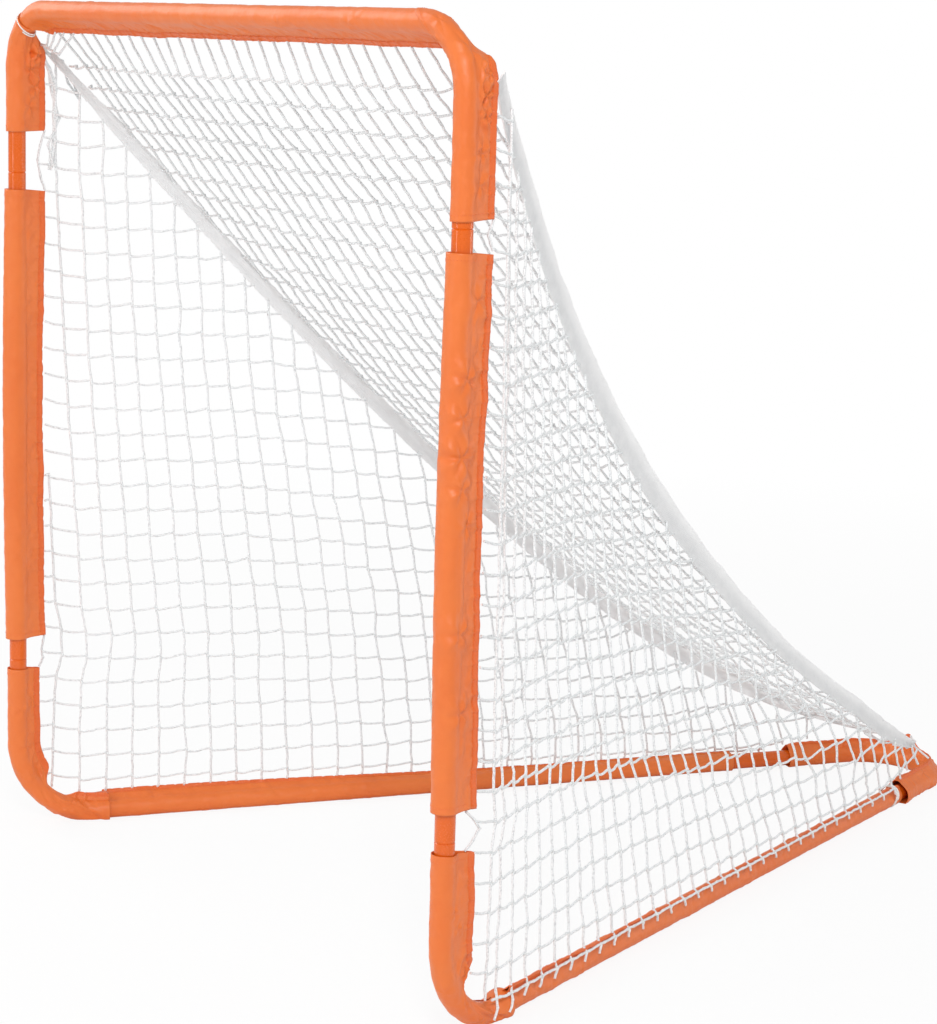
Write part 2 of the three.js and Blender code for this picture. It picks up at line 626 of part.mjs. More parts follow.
// Back panel: level cords between the two seams, and cords that run back from the crossbar
function backNet() {
  const inset = BAND_THICKNESS / 2 + NET_THICKNESS / 2 + CLEARANCE;
  const flap = crossbarFlap().multiplyScalar(CROSSBAR_FLAP_REACH + CLEARANCE + NET_THICKNESS / 4);
  const top = { x: HALF_SPACING - BACK_NET_CORNER_INSET, y: flap.y, z: AXIS_TOP + flap.z };
  const seamEdge = SEAM_SHARES.map((share) => {
    const spot = besideSeam(share, BAND_WIDTH / 2 - NET_THICKNESS);
    return besideRail(SIDES.right, spot.reach, spot.inward + inset, spot.height);
  });
  const border = [top, ...seamEdge];
  const rows = border.length - 1;
  const nodes = new Map();
  const node = (column, row, side) => {
    const key = `${column},${row},${side}`;
    if (nodes.has(key)) return nodes.get(key);
    const edge = border[row];
    const x = column <= Math.max(row, 1) ? edge.x : border[column].x;
    const sag = BACK_NET_SAG * Math.sin((Math.PI * row) / rows) * (1 - (x / edge.x) ** 2);
    const last = border[Math.max(row - 1, 0)];
    const next = border[Math.min(row + 1, rows)];
    const normal = new THREE.Vector3(0, last.z - next.z, next.y - last.y).normalize();
    const place = new THREE.Vector3(side * x, edge.y, edge.z).addScaledVector(normal, -sag);
    nodes.set(key, { place, normal });
    return nodes.get(key);
  };
  const cells = [];
  for (let row = 0; row < rows; row += 1) {
    const first = Math.max(row + 1, 1);
    for (const side of Object.values(SIDES)) {
      const halfCells = [];
      for (let column = Math.max(first, 1); column < rows; column += 1) {
        halfCells.push([
          node(column + 1, row, side),
          node(column, row, side),
          node(column, row + 1, side),
          node(column + 1, row + 1, side),
        ]);
      }
      if (row > 0) {
        halfCells.push([node(row + 1, row, side), node(row, row, side), node(row + 1, row + 1, side)]);
      }
      cells.push(...halfCells.map((cell) => (side > 0 ? cell : cell.reverse())));
    }
    cells.push([
      node(rows, row, SIDES.left),
      node(rows, row, SIDES.right),
      node(rows, row + 1, SIDES.right),
      node(rows, row + 1, SIDES.left),
    ]);
  }
  return netSheet(cells);
}

// Loop of cord around a tube or sleeve at a distance along a route, pressed flat by the ground
function cordLoop(route, distance, innerRadius, diameter) {
  const { point, direction } = route.at(distance);
  const across = route.normal.clone().cross(direction);
  const inner = innerRadius + CLEARANCE;
  const sections = Array.from({ length: TIE_LOOP_STEPS }, (_, step) => {
    const angle = (2 * Math.PI * step) / TIE_LOOP_STEPS;
    const radial = across.clone().multiplyScalar(Math.cos(angle));
    radial.addScaledVector(route.normal, Math.sin(angle));
    const room = radial.z < 0 ? (point.z - CLEARANCE) / -radial.z - inner : diameter;
    const thickness = Math.min(diameter, room);
    return Array.from({ length: TIE_SECTION_SIDES }, (_, k) => {
      const turn = (2 * Math.PI * k) / TIE_SECTION_SIDES;
      const reach = inner + (thickness / 2) * (1 + Math.cos(turn));
      const spot = point.clone().addScaledVector(radial, reach);
      return spot.addScaledVector(direction, (diameter / 2) * Math.sin(turn));
    });
  });
  return loft(sections, true);
}

function cornerTie() {
  const route = topElbowRoute(SIDES.left);
  const [start] = route.bendStations;
  const end = route.bendStations[BEND_STEPS];
  const distance = THREE.MathUtils.lerp(start, end, TIE_LOOP_TURN_SHARE);
  const sleeveCorner = SLEEVE_RADIUS / Math.cos(Math.PI / TUBE_SIDES);
  return cordLoop(route, distance, sleeveCorner, TIE_CORD_DIAMETER);
}

function railLashing() {
  const route = rearRoute();
  const middle = (REAR_JOINT_REACH + REAR_SLEEVE_START) / 2;
  const distance = route.length - (middle - REAR_JOINT_REACH + SPIGOT_LENGTH);
  return cordLoop(route, distance, TUBE_RADIUS, LASHING_DIAMETER);
}

const goal = new THREE.Group();

function addPiece(name, geometry, finish) {
  const mesh = new THREE.Mesh(geometry, new THREE.MeshStandardMaterial(finish));
  mesh.name = name;
  goal.add(mesh);
}

// Frame tubes
const crossbarJoint = new THREE.Vector3(CROSSBAR_JOINT, 0, AXIS_TOP);
const crossbarStart = crossbarJoint.clone().setX(-CROSSBAR_JOINT);
addPiece("crossbar_tube", socketTube(crossbarStart, crossbarJoint, BACK), TUBE_FINISH);
addPiece("rear_apex_tube", spigotTube(rearRoute()), TUBE_FINISH);
for (const [hand, side] of Object.entries(SIDES)) {
  const lower = new THREE.Vector3(side * HALF_SPACING, 0, LOWER_JOINT_HEIGHT);
  const upper = lower.clone().setZ(UPPER_JOINT_HEIGHT);
  const railStart = besideRail(side, RAIL_JOINT_REACH, 0, AXIS_FOOT);
  const railEnd = besideRail(side, REAR_JOINT_REACH, 0, AXIS_FOOT);
  addPiece(`top_${hand}_elbow`, spigotTube(topElbowRoute(side)), TUBE_FINISH);
  addPiece(`${hand}_post_tube`, socketTube(lower, upper, BACK), TUBE_FINISH);
  addPiece(`${hand}_base_elbow`, spigotTube(baseElbowRoute(side)), TUBE_FINISH);
  addPiece(`${hand}_base_rail`, socketTube(railStart, railEnd, UP), TUBE_FINISH);
}

// Sleeves
addPiece("crossbar_sleeve", crossbarSleeve(), SLEEVE_FINISH);
addPiece("rear_apex_sleeve", rearSleeve(), SLEEVE_FINISH);
const corners = {
  left: { hemRise: LEFT_CORNER_HEM_RISE, flapSteps: LEFT_FLAP_STEPS },
  right: { hemRise: RIGHT_CORNER_HEM_RISE, flapSteps: RIGHT_FLAP_STEPS },
};
for (const [hand, side] of Object.entries(SIDES)) {
  const topCorner = topCornerSleeve(side, corners[hand].hemRise, corners[hand].flapSteps);
  addPiece(`top_${hand}_corner_sleeve`, topCorner, SLEEVE_FINISH);
  addPiece(`${hand}_post_sleeve`, postSleeve(side), SLEEVE_FINISH);
  addPiece(`${hand}_base_corner_sleeve`, baseCornerSleeve(side), SLEEVE_FINISH);
  addPiece(`${hand}_rail_sleeve`, railSleeve(side), SLEEVE_FINISH);
}

// Net panels, seam bands and ties
addPiece("back_net", backNet(), NET_FINISH);
for (const [hand, side] of Object.entries(SIDES)) {
  addPiece(`${hand}_side_net`, sideNet(side), NET_FINISH);
  addPiece(`${hand}_seam_band`, seamBand(side), BAND_FINISH);
}
addPiece("left_corner_tie", cornerTie(), CORD_FINISH);
addPiece("right_rail_lashing", railLashing(), CORD_FINISH);

// The origin is the centre of the goal's footprint, on the ground
const bounds = new THREE.Box3().setFromObject(goal);
const middle = bounds.getCenter(new THREE.Vector3());
for (const piece of goal.children) {
  piece.position.set(-middle.x, -middle.y, -bounds.min.z);
}

export default goal;
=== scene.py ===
"""Dresses a portable lacrosse goal: smooth tubes, sewn sleeves, knotless net, seam bands and ties.

Everything is in metres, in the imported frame: +X to the shooter's right, +Y back, +Z up.
"""

import logging
from collections.abc import Callable, Iterable, Sequence
from dataclasses import dataclass, field, replace
from enum import Enum
from math import acos, atan2, copysign, cos, dist, exp, hypot, pi, radians, sin, sqrt, tan

import bmesh
import bpy
import numpy as np
from bmesh.types import BMEdge, BMesh, BMVert
from bpy.types import Material, Node, NodeSocket, NodeTree, Object, ShaderNodeTree
from mathutils import Matrix, Vector, noise


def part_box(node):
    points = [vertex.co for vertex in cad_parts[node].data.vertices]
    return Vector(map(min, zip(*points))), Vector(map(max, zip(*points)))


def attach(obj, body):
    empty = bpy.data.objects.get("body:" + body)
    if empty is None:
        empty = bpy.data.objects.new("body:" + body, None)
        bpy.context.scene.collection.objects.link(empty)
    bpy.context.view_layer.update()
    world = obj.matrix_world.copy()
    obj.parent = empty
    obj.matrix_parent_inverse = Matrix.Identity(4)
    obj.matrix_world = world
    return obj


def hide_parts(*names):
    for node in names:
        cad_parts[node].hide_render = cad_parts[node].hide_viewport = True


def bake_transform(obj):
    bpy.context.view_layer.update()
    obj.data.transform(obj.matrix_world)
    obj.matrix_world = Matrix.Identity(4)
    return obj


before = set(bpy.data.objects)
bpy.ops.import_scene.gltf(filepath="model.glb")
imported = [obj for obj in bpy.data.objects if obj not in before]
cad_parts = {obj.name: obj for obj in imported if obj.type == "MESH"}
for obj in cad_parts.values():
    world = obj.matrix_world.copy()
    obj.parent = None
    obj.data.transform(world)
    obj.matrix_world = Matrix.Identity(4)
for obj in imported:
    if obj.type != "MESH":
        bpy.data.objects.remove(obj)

LOG = logging.getLogger("goal")
NOISE_SEED = 11

UP = Vector((0.0, 0.0, 1.0))
BACK = Vector((0.0, 1.0, 0.0))
WHITE = (1.0, 1.0, 1.0, 1.0)

Array = np.ndarray
Colour = tuple[float, float, float]
Profile = Sequence[tuple[float, float]]
Course = Callable[[Array], Array]


class Body(str, Enum):
    """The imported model's bodies."""

    BASE = "base"
    LEFT_POST = "left_post"
    RIGHT_POST = "right_post"
    TOP_ARCH = "top_arch"


class Side(Enum):
    """A side of the goal, as the shooter sees it."""

    LEFT = -1
    RIGHT = 1

    @property
    def hand(self) -> str:
        """The side's word in node names."""
        return self.name.lower()

    @property
    def post(self) -> Body:
        """The body of the side's post."""
        return Body(f"{self.hand}_post")


class Slot(str, Enum):
    """Names of the goal's material slots."""

    TUBE = "tube"
    SLEEVE = "sleeve"
    NET = "net"
    WEBBING = "webbing"
    CORD = "cord"


def lerp(a: float, b: float, share: float) -> float:
    """The value at a share of the way from a to b."""
    return a + (b - a) * share


def ramp(value: float, low: float, high: float) -> float:
    """How far value is from low to high, from 0 to 1."""
    return min(max((value - low) / (high - low), 0.0), 1.0)


def smooth(share: float | Array) -> float | Array:
    """A share that starts and ends gently."""
    return share * share * (3.0 - 2.0 * share)


def vramp(values: Array, low: float, high: float) -> Array:
    """How far each value is from low to high, from 0 to 1."""
    return np.clip((values - low) / (high - low), 0.0, 1.0)


@dataclass(frozen=True)
class GoalPlan:
    """The goal's driving sizes and the places that follow from them.

    The axes of the posts stand at y = post_depth, and those of the rails meet behind them.
    """

    height: float = 1.219
    post_spacing: float = 1.047
    rail_meeting_depth: float = 1.602
    tube_radius: float = 0.0125
    spigot_radius: float = 0.011
    spigot_length: float = 0.06
    wall: float = 0.0012
    sleeve_radius: float = 0.0138
    top_bend: float = 0.08
    base_bend: float = 0.117
    rear_bend: float = 0.095
    upper_joint_drop: float = 0.229
    lower_joint: float = 0.256
    crossbar_leg: float = 0.149
    rail_leg: float = 0.126
    rear_leg: float = 0.148
    seam_top_reach: float = 0.057
    seam_top_drop: float = 0.063
    seam_foot_half_gap: float = 0.012
    seam_foot_inset: float = 0.013
    seam_foot_height: float = 0.058
    seam_pull: float = 0.088
    seam_droop_share: float = 1.53
    seam_pull_share: float = 0.85
    seam_pull_end_share: float = 0.74
    seam_gather_share: float = 14.0
    post_flap: float = 0.046
    crossbar_flap: float = 0.04
    crossbar_flap_drop: float = radians(49.0)
    rail_flap: float = 0.024
    rail_flap_lean: float = radians(30.0)
    rear_flap: float = 0.028
    crossbar_inset: float = 0.081
    tie_share: float = 0.52

    @property
    def half(self) -> float:
        """Half the distance between the posts' axes."""
        return self.post_spacing / 2

    @property
    def axis_top(self) -> float:
        """Height of the crossbar's axis."""
        return self.height - self.sleeve_radius

    @property
    def axis_foot(self) -> float:
        """Height of the rails' axes."""
        return self.sleeve_radius

    @property
    def upper_joint(self) -> float:
        """Height of the joints between the posts and the top arch."""
        return self.axis_top - self.upper_joint_drop

    @property
    def rail_run(self) -> float:
        """Length of a rail's line from a post's axis to where the two lines cross."""
        return hypot(self.half, self.rail_meeting_depth)

    @property
    def splay(self) -> float:
        """Angle of a rail from straight back."""
        return atan2(self.half, self.rail_meeting_depth)

    @property
    def rear_joint(self) -> float:
        """Reach of the rear joint along a rail."""
        return self.rail_run - self.rear_bend / tan(self.splay) - self.rear_leg

    @property
    def post_depth(self) -> float:
        """The y of the posts' axes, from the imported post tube."""
        low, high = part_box("left_post_tube")
        return (low.y + high.y) / 2

    def beside_rail(self, side: Side, reach: float, inward: float, height: float) -> Vector:
        """A point beside one base rail.

        Args:
            side: The rail's side.
            reach: Distance from the post's axis along the rail.
            inward: Distance from the rail's upright plane towards the goal's middle.
            height: Height above the ground.

        Returns:
            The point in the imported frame.
        """
        sideways, backwards = sin(self.splay), cos(self.splay)
        x = self.half - reach * sideways - inward * backwards
        y = reach * backwards - inward * sideways
        return Vector((side.value * x, y + self.post_depth, height))

    def rail_axis(self, side: Side, reach: float) -> Vector:
        """The point of a rail's axis at a reach."""
        return self.beside_rail(side, reach, 0.0, self.axis_foot)

    def rail_direction(self, side: Side) -> Vector:
        """The level direction along a rail, backwards."""
        return Vector((-side.value * sin(self.splay), cos(self.splay), 0.0))

    def rail_inward(self, side: Side) -> Vector:
        """The level direction square to a rail, towards the goal's middle."""
        return Vector((-side.value * cos(self.splay), -sin(self.splay), 0.0))

    def rail_flap_direction(self, side: Side) -> Vector:
        """The way a rail sleeve's flap points."""
        return UP * cos(self.rail_flap_lean) - self.rail_inward(side) * sin(self.rail_flap_lean)

    @property
    def crossbar_flap_direction(self) -> Vector:
        """The way the crossbar sleeve's flap points."""
        return Vector((0.0, cos(self.crossbar_flap_drop), -sin(self.crossbar_flap_drop)))

    def seam_foot(self) -> tuple[float, float]:
        """Reach and inward distance of a seam's lower end."""
        sideways, backwards = sin(self.splay), cos(self.splay)
        bend_depth = self.rail_meeting_depth - self.rear_bend / sideways + self.rear_bend
        depth = bend_depth - self.seam_foot_inset
        across = self.half - self.seam_foot_half_gap
        return across * sideways + depth * backwards, across * backwards - depth * sideways

    def seam(self, share: float) -> tuple[float, float, float]:
        """The seam between a side panel and the back panel.

        Args:
            share: Place along the seam, from 0 at the top corner to 1 at the rear point.

        Returns:
            Reach, inward distance and height there.
        """
        foot_reach, foot_inward = self.seam_foot()
        top_inward = -self.post_flap * sin(self.splay)
        reach = lerp(self.seam_top_reach, foot_reach, share)
        top = self.axis_top - self.seam_top_drop
        height = lerp(self.seam_foot_height, top, (1.0 - share) ** self.seam_droop_share)
        pulled = min(share / self.seam_pull_end_share, 1.0) ** self.seam_pull_share
        pull = self.seam_pull * sin(pi * pulled)
        gather = (foot_inward - top_inward) * share**self.seam_gather_share
        return reach, top_inward + pull + gather, height

    @staticmethod
    def band_half(share: float) -> float:
        """Half the seam band's width: it is drawn together at both ends."""
        width = lerp(0.014, 0.02, ramp(share, -0.01, 0.03)) + 0.006 * ramp(share, 0.03, 0.5)
        return 0.5 * width * (1.0 - 0.74 * smooth(ramp(share, 0.8, 1.0)))

    def beside_seam(self, share: float, across: float) -> tuple[float, float, float]:
        """A point off the seam, in the side panel's plane.

        Args:
            share: Place along the seam.
            across: Distance up and back from the seam's line.

        Returns:
            Reach, inward distance and height there.
        """
        step = 0.01
        before, after = self.seam(max(share - step, 0.0)), self.seam(min(share + step, 1.0))
        run, rise = after[0] - before[0], after[2] - before[2]
        length = hypot(run, rise)
        reach, inward, height = self.seam(share)
        return reach - across * rise / length, inward, height + across * run / length


@dataclass(frozen=True)
class Station:
    """A place on a route and the way the route runs there."""

    point: Vector
    along: Vector


class Route:
    """A tube's centreline: straight, or straight with one round bend."""

    def __init__(self, start: Vector, end: Vector, corner: Vector | None = None, bend: float = 0.0):
        """Lays the route.

        Args:
            start: Where it starts.
            end: Where it ends.
            corner: Where its straight runs would cross, if it bends.
            bend: The bend's radius.
        """
        self.start, self.end, self.radius = start.copy(), end.copy(), bend
        if corner is None:
            self.before = (end - start).normalized()
            self.after, self.inner, self.turn = self.before, UP, 0.0
            self.first = (end - start).length
            self.arc = self.last = 0.0
            self.length = self.first
            return
        self.before = (corner - start).normalized()
        self.after = (end - corner).normalized()
        self.turn = self.before.angle(self.after)
        setback = bend * tan(self.turn / 2)
        self.inner = (self.after - self.before * self.after.dot(self.before)).normalized()
        self.first = (corner - start).length - setback
        self.last = (end - corner).length - setback
        self.arc = bend * self.turn
        self.length = self.first + self.arc + self.last

    @property
    def bend_centre(self) -> Vector:
        """The middle of the bend's circle."""
        return self.start + self.before * self.first + self.inner * self.radius

    def at(self, distance: float) -> Station:
        """The station at a distance from the start."""
        if distance <= self.first or not self.arc:
            return Station(self.start + self.before * distance, self.before.copy())
        if distance >= self.first + self.arc:
            return Station(self.end - self.after * (self.length - distance), self.after.copy())
        angle = (distance - self.first) / self.radius
        point = self.bend_centre - self.inner * self.radius * cos(angle)
        point += self.before * self.radius * sin(angle)
        return Station(point, self.before * cos(angle) + self.inner * sin(angle))

    def lay(self, distances: Array) -> tuple[Array, Array]:
        """Stations at many distances.

        Args:
            distances: Distances from the start.

        Returns:
            The points and the ways the route runs there, one in each row.
        """
        before, after, inner = (np.array(way) for way in (self.before, self.after, self.inner))
        angle = np.clip((distances - self.first) / self.radius, 0.0, self.turn)[:, None] if self.arc else 0.0
        ways = before * np.cos(angle) + inner * np.sin(angle) if self.arc else np.tile(before, (len(distances), 1))
        run_in = np.minimum(distances, self.first) if self.arc else distances
        points = np.array(self.start) + before * run_in[:, None]
        if self.arc:
            points = points + self.radius * (inner * (1.0 - np.cos(angle)) + before * np.sin(angle))
            points = points + after * np.maximum(distances - self.first - self.arc, 0.0)[:, None]
        return points, ways


class ArchRoute(Route):
    """The crossbar's line with a piece of the bend at each end."""

    def __init__(self, plan: GoalPlan, left_extra: float, right_extra: float):
        """Lays the route from left to right, with how far it runs into each bend."""
        self.flat = plan.half - plan.top_bend
        self.plan, self.left_extra = plan, left_extra
        start = Vector((-self.flat, plan.post_depth, plan.axis_top))
        super().__init__(start, Vector((self.flat, plan.post_depth, plan.axis_top)))
        self.length = 2 * self.flat + left_extra + right_extra

    def lay(self, distances: Array) -> tuple[Array, Array]:
        """The points and the ways at many distances, as for a plain route."""
        x = distances - self.left_extra - self.flat
        side = np.sign(x)
        bend = self.plan.top_bend
        angle = np.maximum(np.abs(x) - self.flat, 0.0) / bend
        level = np.minimum(np.abs(x), self.flat) + bend * np.sin(angle)
        points = np.stack([
            side * level,
            np.full_like(x, self.plan.post_depth),
            self.plan.axis_top - bend * (1.0 - np.cos(angle)),
        ], axis=1)
        return points, np.stack([np.cos(angle), np.zeros_like(x), -side * np.sin(angle)], axis=1)


@dataclass
class Routes:
    """The routes of the goal's tubes."""

    plan: GoalPlan

    def top_elbow(self, side: Side) -> Route:
        """From the spigot in the post, over the bend, to the spigot in the crossbar."""
        plan = self.plan
        x, y = side.value * plan.half, plan.post_depth
        joint = plan.half - plan.top_bend - plan.crossbar_leg - plan.spigot_length
        foot, corner = (Vector((x, y, z)) for z in (plan.upper_joint - plan.spigot_length, plan.axis_top))
        return Route(foot, Vector((side.value * joint, y, plan.axis_top)), corner, plan.top_bend)

    def base_elbow(self, side: Side) -> Route:
        """From the spigot in the post, round the bend, to the spigot in the rail."""
        plan = self.plan
        head = plan.beside_rail(side, 0.0, 0.0, plan.lower_joint + plan.spigot_length)
        reach = plan.base_bend + plan.rail_leg + plan.spigot_length
        return Route(head, plan.rail_axis(side, reach), plan.rail_axis(side, 0.0), plan.base_bend)

    def rear(self) -> Route:
        """From the left rail, round the rear bend, to the right rail."""
        plan = self.plan
        left, right = (plan.rail_axis(side, plan.rear_joint - plan.spigot_length) for side in Side)
        corner = Vector((0.0, plan.post_depth + plan.rail_meeting_depth, plan.axis_foot))
        return Route(left, right, corner, plan.rear_bend)

    def post(self, side: Side) -> Route:
        """A post's axis between its joints."""
        foot = self.plan.beside_rail(side, 0.0, 0.0, self.plan.lower_joint)
        return Route(foot, Vector((foot.x, foot.y, self.plan.upper_joint)))

    def rail(self, side: Side) -> Route:
        """A rail's axis between its joints."""
        plan = self.plan
        return Route(plan.rail_axis(side, plan.base_bend + plan.rail_leg), plan.rail_axis(side, plan.rear_joint))

    def crossbar(self) -> Route:
        """The crossbar tube's axis between its joints."""
        plan = self.plan
        joint = plan.half - plan.top_bend - plan.crossbar_leg
        left, right = (Vector((x, plan.post_depth, plan.axis_top)) for x in (-joint, joint))
        return Route(left, right)


# Shader groups and finishes


class NodeBuilder:
    """Adds nodes to one shader tree."""

    def __init__(self, tree: NodeTree):
        """Keeps the tree."""
        self.tree = tree

    def add(self, kind: str, values: dict[str | int, object] | None = None, **settings: object) -> Node:
        """Adds a node.

        Args:
            kind: The node's type, without the words ShaderNode.
            values: Each input socket's value, or the socket that feeds it.
            settings: The node's own settings.

        Returns:
            The node.
        """
        made = self.tree.nodes.new(f"ShaderNode{kind}")
        for name, value in settings.items():
            setattr(made, name, value)
        for socket, value in (values or {}).items():
            self.feed(made, socket, value)
        return made

    def feed(self, target: Node, socket: str | int, value: object) -> None:
        """Sets an input socket to a value, or links another socket to it."""
        if isinstance(value, NodeSocket):
            self.tree.links.new(value, target.inputs[socket])
        else:
            target.inputs[socket].default_value = value

    def math(self, operation: str, *values: object) -> NodeSocket:
        """The result of a Math node on numbers and sockets."""
        return self.add("Math", dict(enumerate(values)), operation=operation).outputs[0]

    def noise(self, place: NodeSocket, scale: float | NodeSocket, detail: float) -> Node:
        """A Noise texture at a place."""
        return self.add("TexNoise", {"Vector": place, "Scale": scale, "Detail": detail})

    def cover(self, output: str, mask: NodeSocket, below: NodeSocket, above: NodeSocket) -> None:
        """Lays one surface over another by a mask and gives it to the output node."""
        mix = self.add("MixShader", {"Fac": mask, 1: below, 2: above})
        self.feed(self.tree.nodes[output], "Surface", mix.outputs[0])


class GroupBuilder(NodeBuilder):
    """A shader node group with number inputs and outputs, made once."""

    def __init__(self, name: str, inputs: dict[str, float], outputs: Sequence[str]):
        """Makes the group's sockets.

        Args:
            name: The group's name.
            inputs: Each input and its default.
            outputs: The outputs' names.
        """
        super().__init__(bpy.data.node_groups.new(name, "ShaderNodeTree"))
        for way, sockets in (("INPUT", inputs), ("OUTPUT", outputs)):
            for socket in sockets:
                made = self.tree.interface.new_socket(socket, in_out=way, socket_type="NodeSocketFloat")
                if way == "INPUT":
                    made.default_value = inputs[socket]
        self.given = self.tree.nodes.new("NodeGroupInput").outputs
        self.result = self.tree.nodes.new("NodeGroupOutput")

    def give(self, **sockets: NodeSocket) -> ShaderNodeTree:
        """Links the group's outputs and gives its tree."""
        for name, socket in sockets.items():
            self.feed(self.result, name, socket)
        return self.tree


class EffectLibrary:
    """The shader groups that the finishes share."""

    def __init__(self) -> None:
        """Builds every group."""
        self.weave = self._weave()
        self.creases = self._creases()
        self.tone = self._tone()
        self.braid = self._braid()

    @staticmethod
    def _weave() -> ShaderNodeTree:
        """Plain weave that follows the cloth's own map, as a height from 0 to 1."""
        group = GroupBuilder("plain_weave", {"Threads per metre": 1800.0}, ["Height"])
        place = group.add("UVMap", uv_map="cloth").outputs["UV"]
        across = group.add("SeparateXYZ", {0: place}).outputs
        turn = group.math("MULTIPLY", group.given[0], pi)
        waves = [
            group.math("ABSOLUTE", group.math("SINE", group.math("MULTIPLY", across[axis], turn)))
            for axis in range(2)
        ]
        return group.give(Height=group.math("MULTIPLY", *waves))

    @staticmethod
    def _creases() -> ShaderNodeTree:
        """Sharp small creases of coated cloth, as a height from 0 to 1."""
        group = GroupBuilder("cloth_creases", {"Cells per metre": 34.0}, ["Height"])
        place = group.add("TexCoord").outputs["Object"]
        wobble = group.noise(place, 22.0, 2.0).outputs["Color"]
        shifted = group.add("VectorMath", {0: wobble, 1: (0.03, 0.03, 0.03), 2: place}, operation="MULTIPLY_ADD")
        cells = group.add(
            "TexVoronoi", {"Scale": group.given[0], "Vector": shifted.outputs[0]}, distance="MANHATTAN", feature="F1"
        )
        soft = group.noise(place, 60.0, 3.0).outputs["Fac"]
        return group.give(Height=group.math("MULTIPLY_ADD", soft, 0.35, cells.outputs["Distance"]))

    @staticmethod
    def _tone() -> ShaderNodeTree:
        """Slow and fine changes of tone, as a mask around one half."""
        group = GroupBuilder("tone_changes", {"Slow scale": 6.0, "Fine scale": 90.0}, ["Mask"])
        place = group.add("TexCoord").outputs["Object"]
        slow, fine = (group.noise(place, group.given[index], 3.0).outputs["Fac"] for index in range(2))
        return group.give(Mask=group.math("MULTIPLY_ADD", slow, 0.65, group.math("MULTIPLY", fine, 0.35)))

    @staticmethod
    def _braid() -> ShaderNodeTree:
        """Plaited strands of cord: a height, and a mask of painted shade that is dark in the gaps between the strands.
        """
        group = GroupBuilder("plaited_cord", {"Strands per metre": 420.0}, ["Height", "Mask"])
        place = group.add("TexCoord").outputs["Object"]
        cells = group.add("TexVoronoi", {"Scale": group.given[0], "Vector": place}, feature="F1").outputs["Distance"]
        gap = group.add("MapRange", {"Value": cells, "From Min": 0.35, "From Max": 0.85})
        return group.give(Height=group.math("SUBTRACT", 1.0, cells), Mask=gap.outputs["Result"])


def from_srgb(*channels: float) -> Colour:
    """A colour as written for a screen, from 0 to 1, made linear."""
    return tuple(value / 12.92 if value <= 0.04045 else ((value + 0.055) / 1.055) ** 2.4 for value in channels)


class MaterialBuilder(NodeBuilder):
    """One material around a Principled BSDF."""

    def __init__(self, name: str, **values: object):
        """Starts the material and sets its shader's own sockets."""
        self.material = bpy.data.materials.new(name)
        self.material.use_nodes = True
        super().__init__(self.material.node_tree)
        self.shader = self.tree.nodes["Principled BSDF"]
        self.set(**values)

    def set(self, **values: object) -> None:
        """Sets or links the shader's sockets, whose names have _ for a space."""
        for name, value in values.items():
            self.feed(self.shader, name.replace("_", " "), value)

    def group(self, tree: ShaderNodeTree, **values: float) -> dict[str, NodeSocket]:
        """Places a shared group with its own values and gives its outputs."""
        own = {name.replace("_", " "): value for name, value in values.items()}
        return self.add("Group", own, node_tree=tree).outputs

    def mix(self, mask: NodeSocket, dark: Colour | NodeSocket, light: Colour) -> NodeSocket:
        """Mixes two colours by a mask."""
        low = dark if isinstance(dark, NodeSocket) else (*dark, 1.0)
        return self.add("Mix", {"Factor": mask, "A": low, "B": (*light, 1.0)}, data_type="RGBA").outputs["Result"]

    def range(self, value: NodeSocket, low: float, high: float) -> NodeSocket:
        """Maps a mask to a range of values."""
        return self.add("MapRange", {"Value": value, "To Min": low, "To Max": high}).outputs["Result"]

    def bump(self, height: NodeSocket, distance: float, strength: float, **below: NodeSocket) -> NodeSocket:
        """Adds a Bump node and gives its normal.

        Args:
            height: The height that it reads.
            distance: The height's size in metres.
            strength: The bump's strength.
            below: An earlier bump's normal, as Normal.

        Returns:
            The bump's normal socket.
        """
        values = {"Height": height, "Distance": distance, "Strength": strength, **below}
        return self.add("Bump", values).outputs["Normal"]


@dataclass(frozen=True)
class SleeveCloth:
    """Orange coated cloth with a satin face."""

    dark: Colour = from_srgb(0.885, 0.4, 0.12)
    light: Colour = from_srgb(0.935, 0.505, 0.22)
    binding: Colour = from_srgb(0.9, 0.41, 0.15)
    rough_low: float = 0.36
    rough_high: float = 0.52
    threads: float = 1700.0

    def make(self, effects: EffectLibrary) -> Material:
        """Builds the material."""
        builder = MaterialBuilder("sleeve_cloth", Coat_Weight=0.14, Coat_Roughness=0.3)
        tone = builder.group(effects.tone, Slow_scale=7.0, Fine_scale=70.0)["Mask"]
        bound = builder.add("Attribute", attribute_name="binding").outputs["Fac"]
        weave = builder.group(effects.weave, Threads_per_metre=self.threads)["Height"]
        crease = builder.group(effects.creases, Cells_per_metre=30.0)["Height"]
        builder.set(
            Base_Color=builder.mix(bound, builder.mix(tone, self.dark, self.light), self.binding),
            Roughness=builder.range(tone, self.rough_high, self.rough_low),
            Normal=builder.bump(weave, 0.0002, 0.25, Normal=builder.bump(crease, 0.0024, 0.5)),
        )
        return builder.material


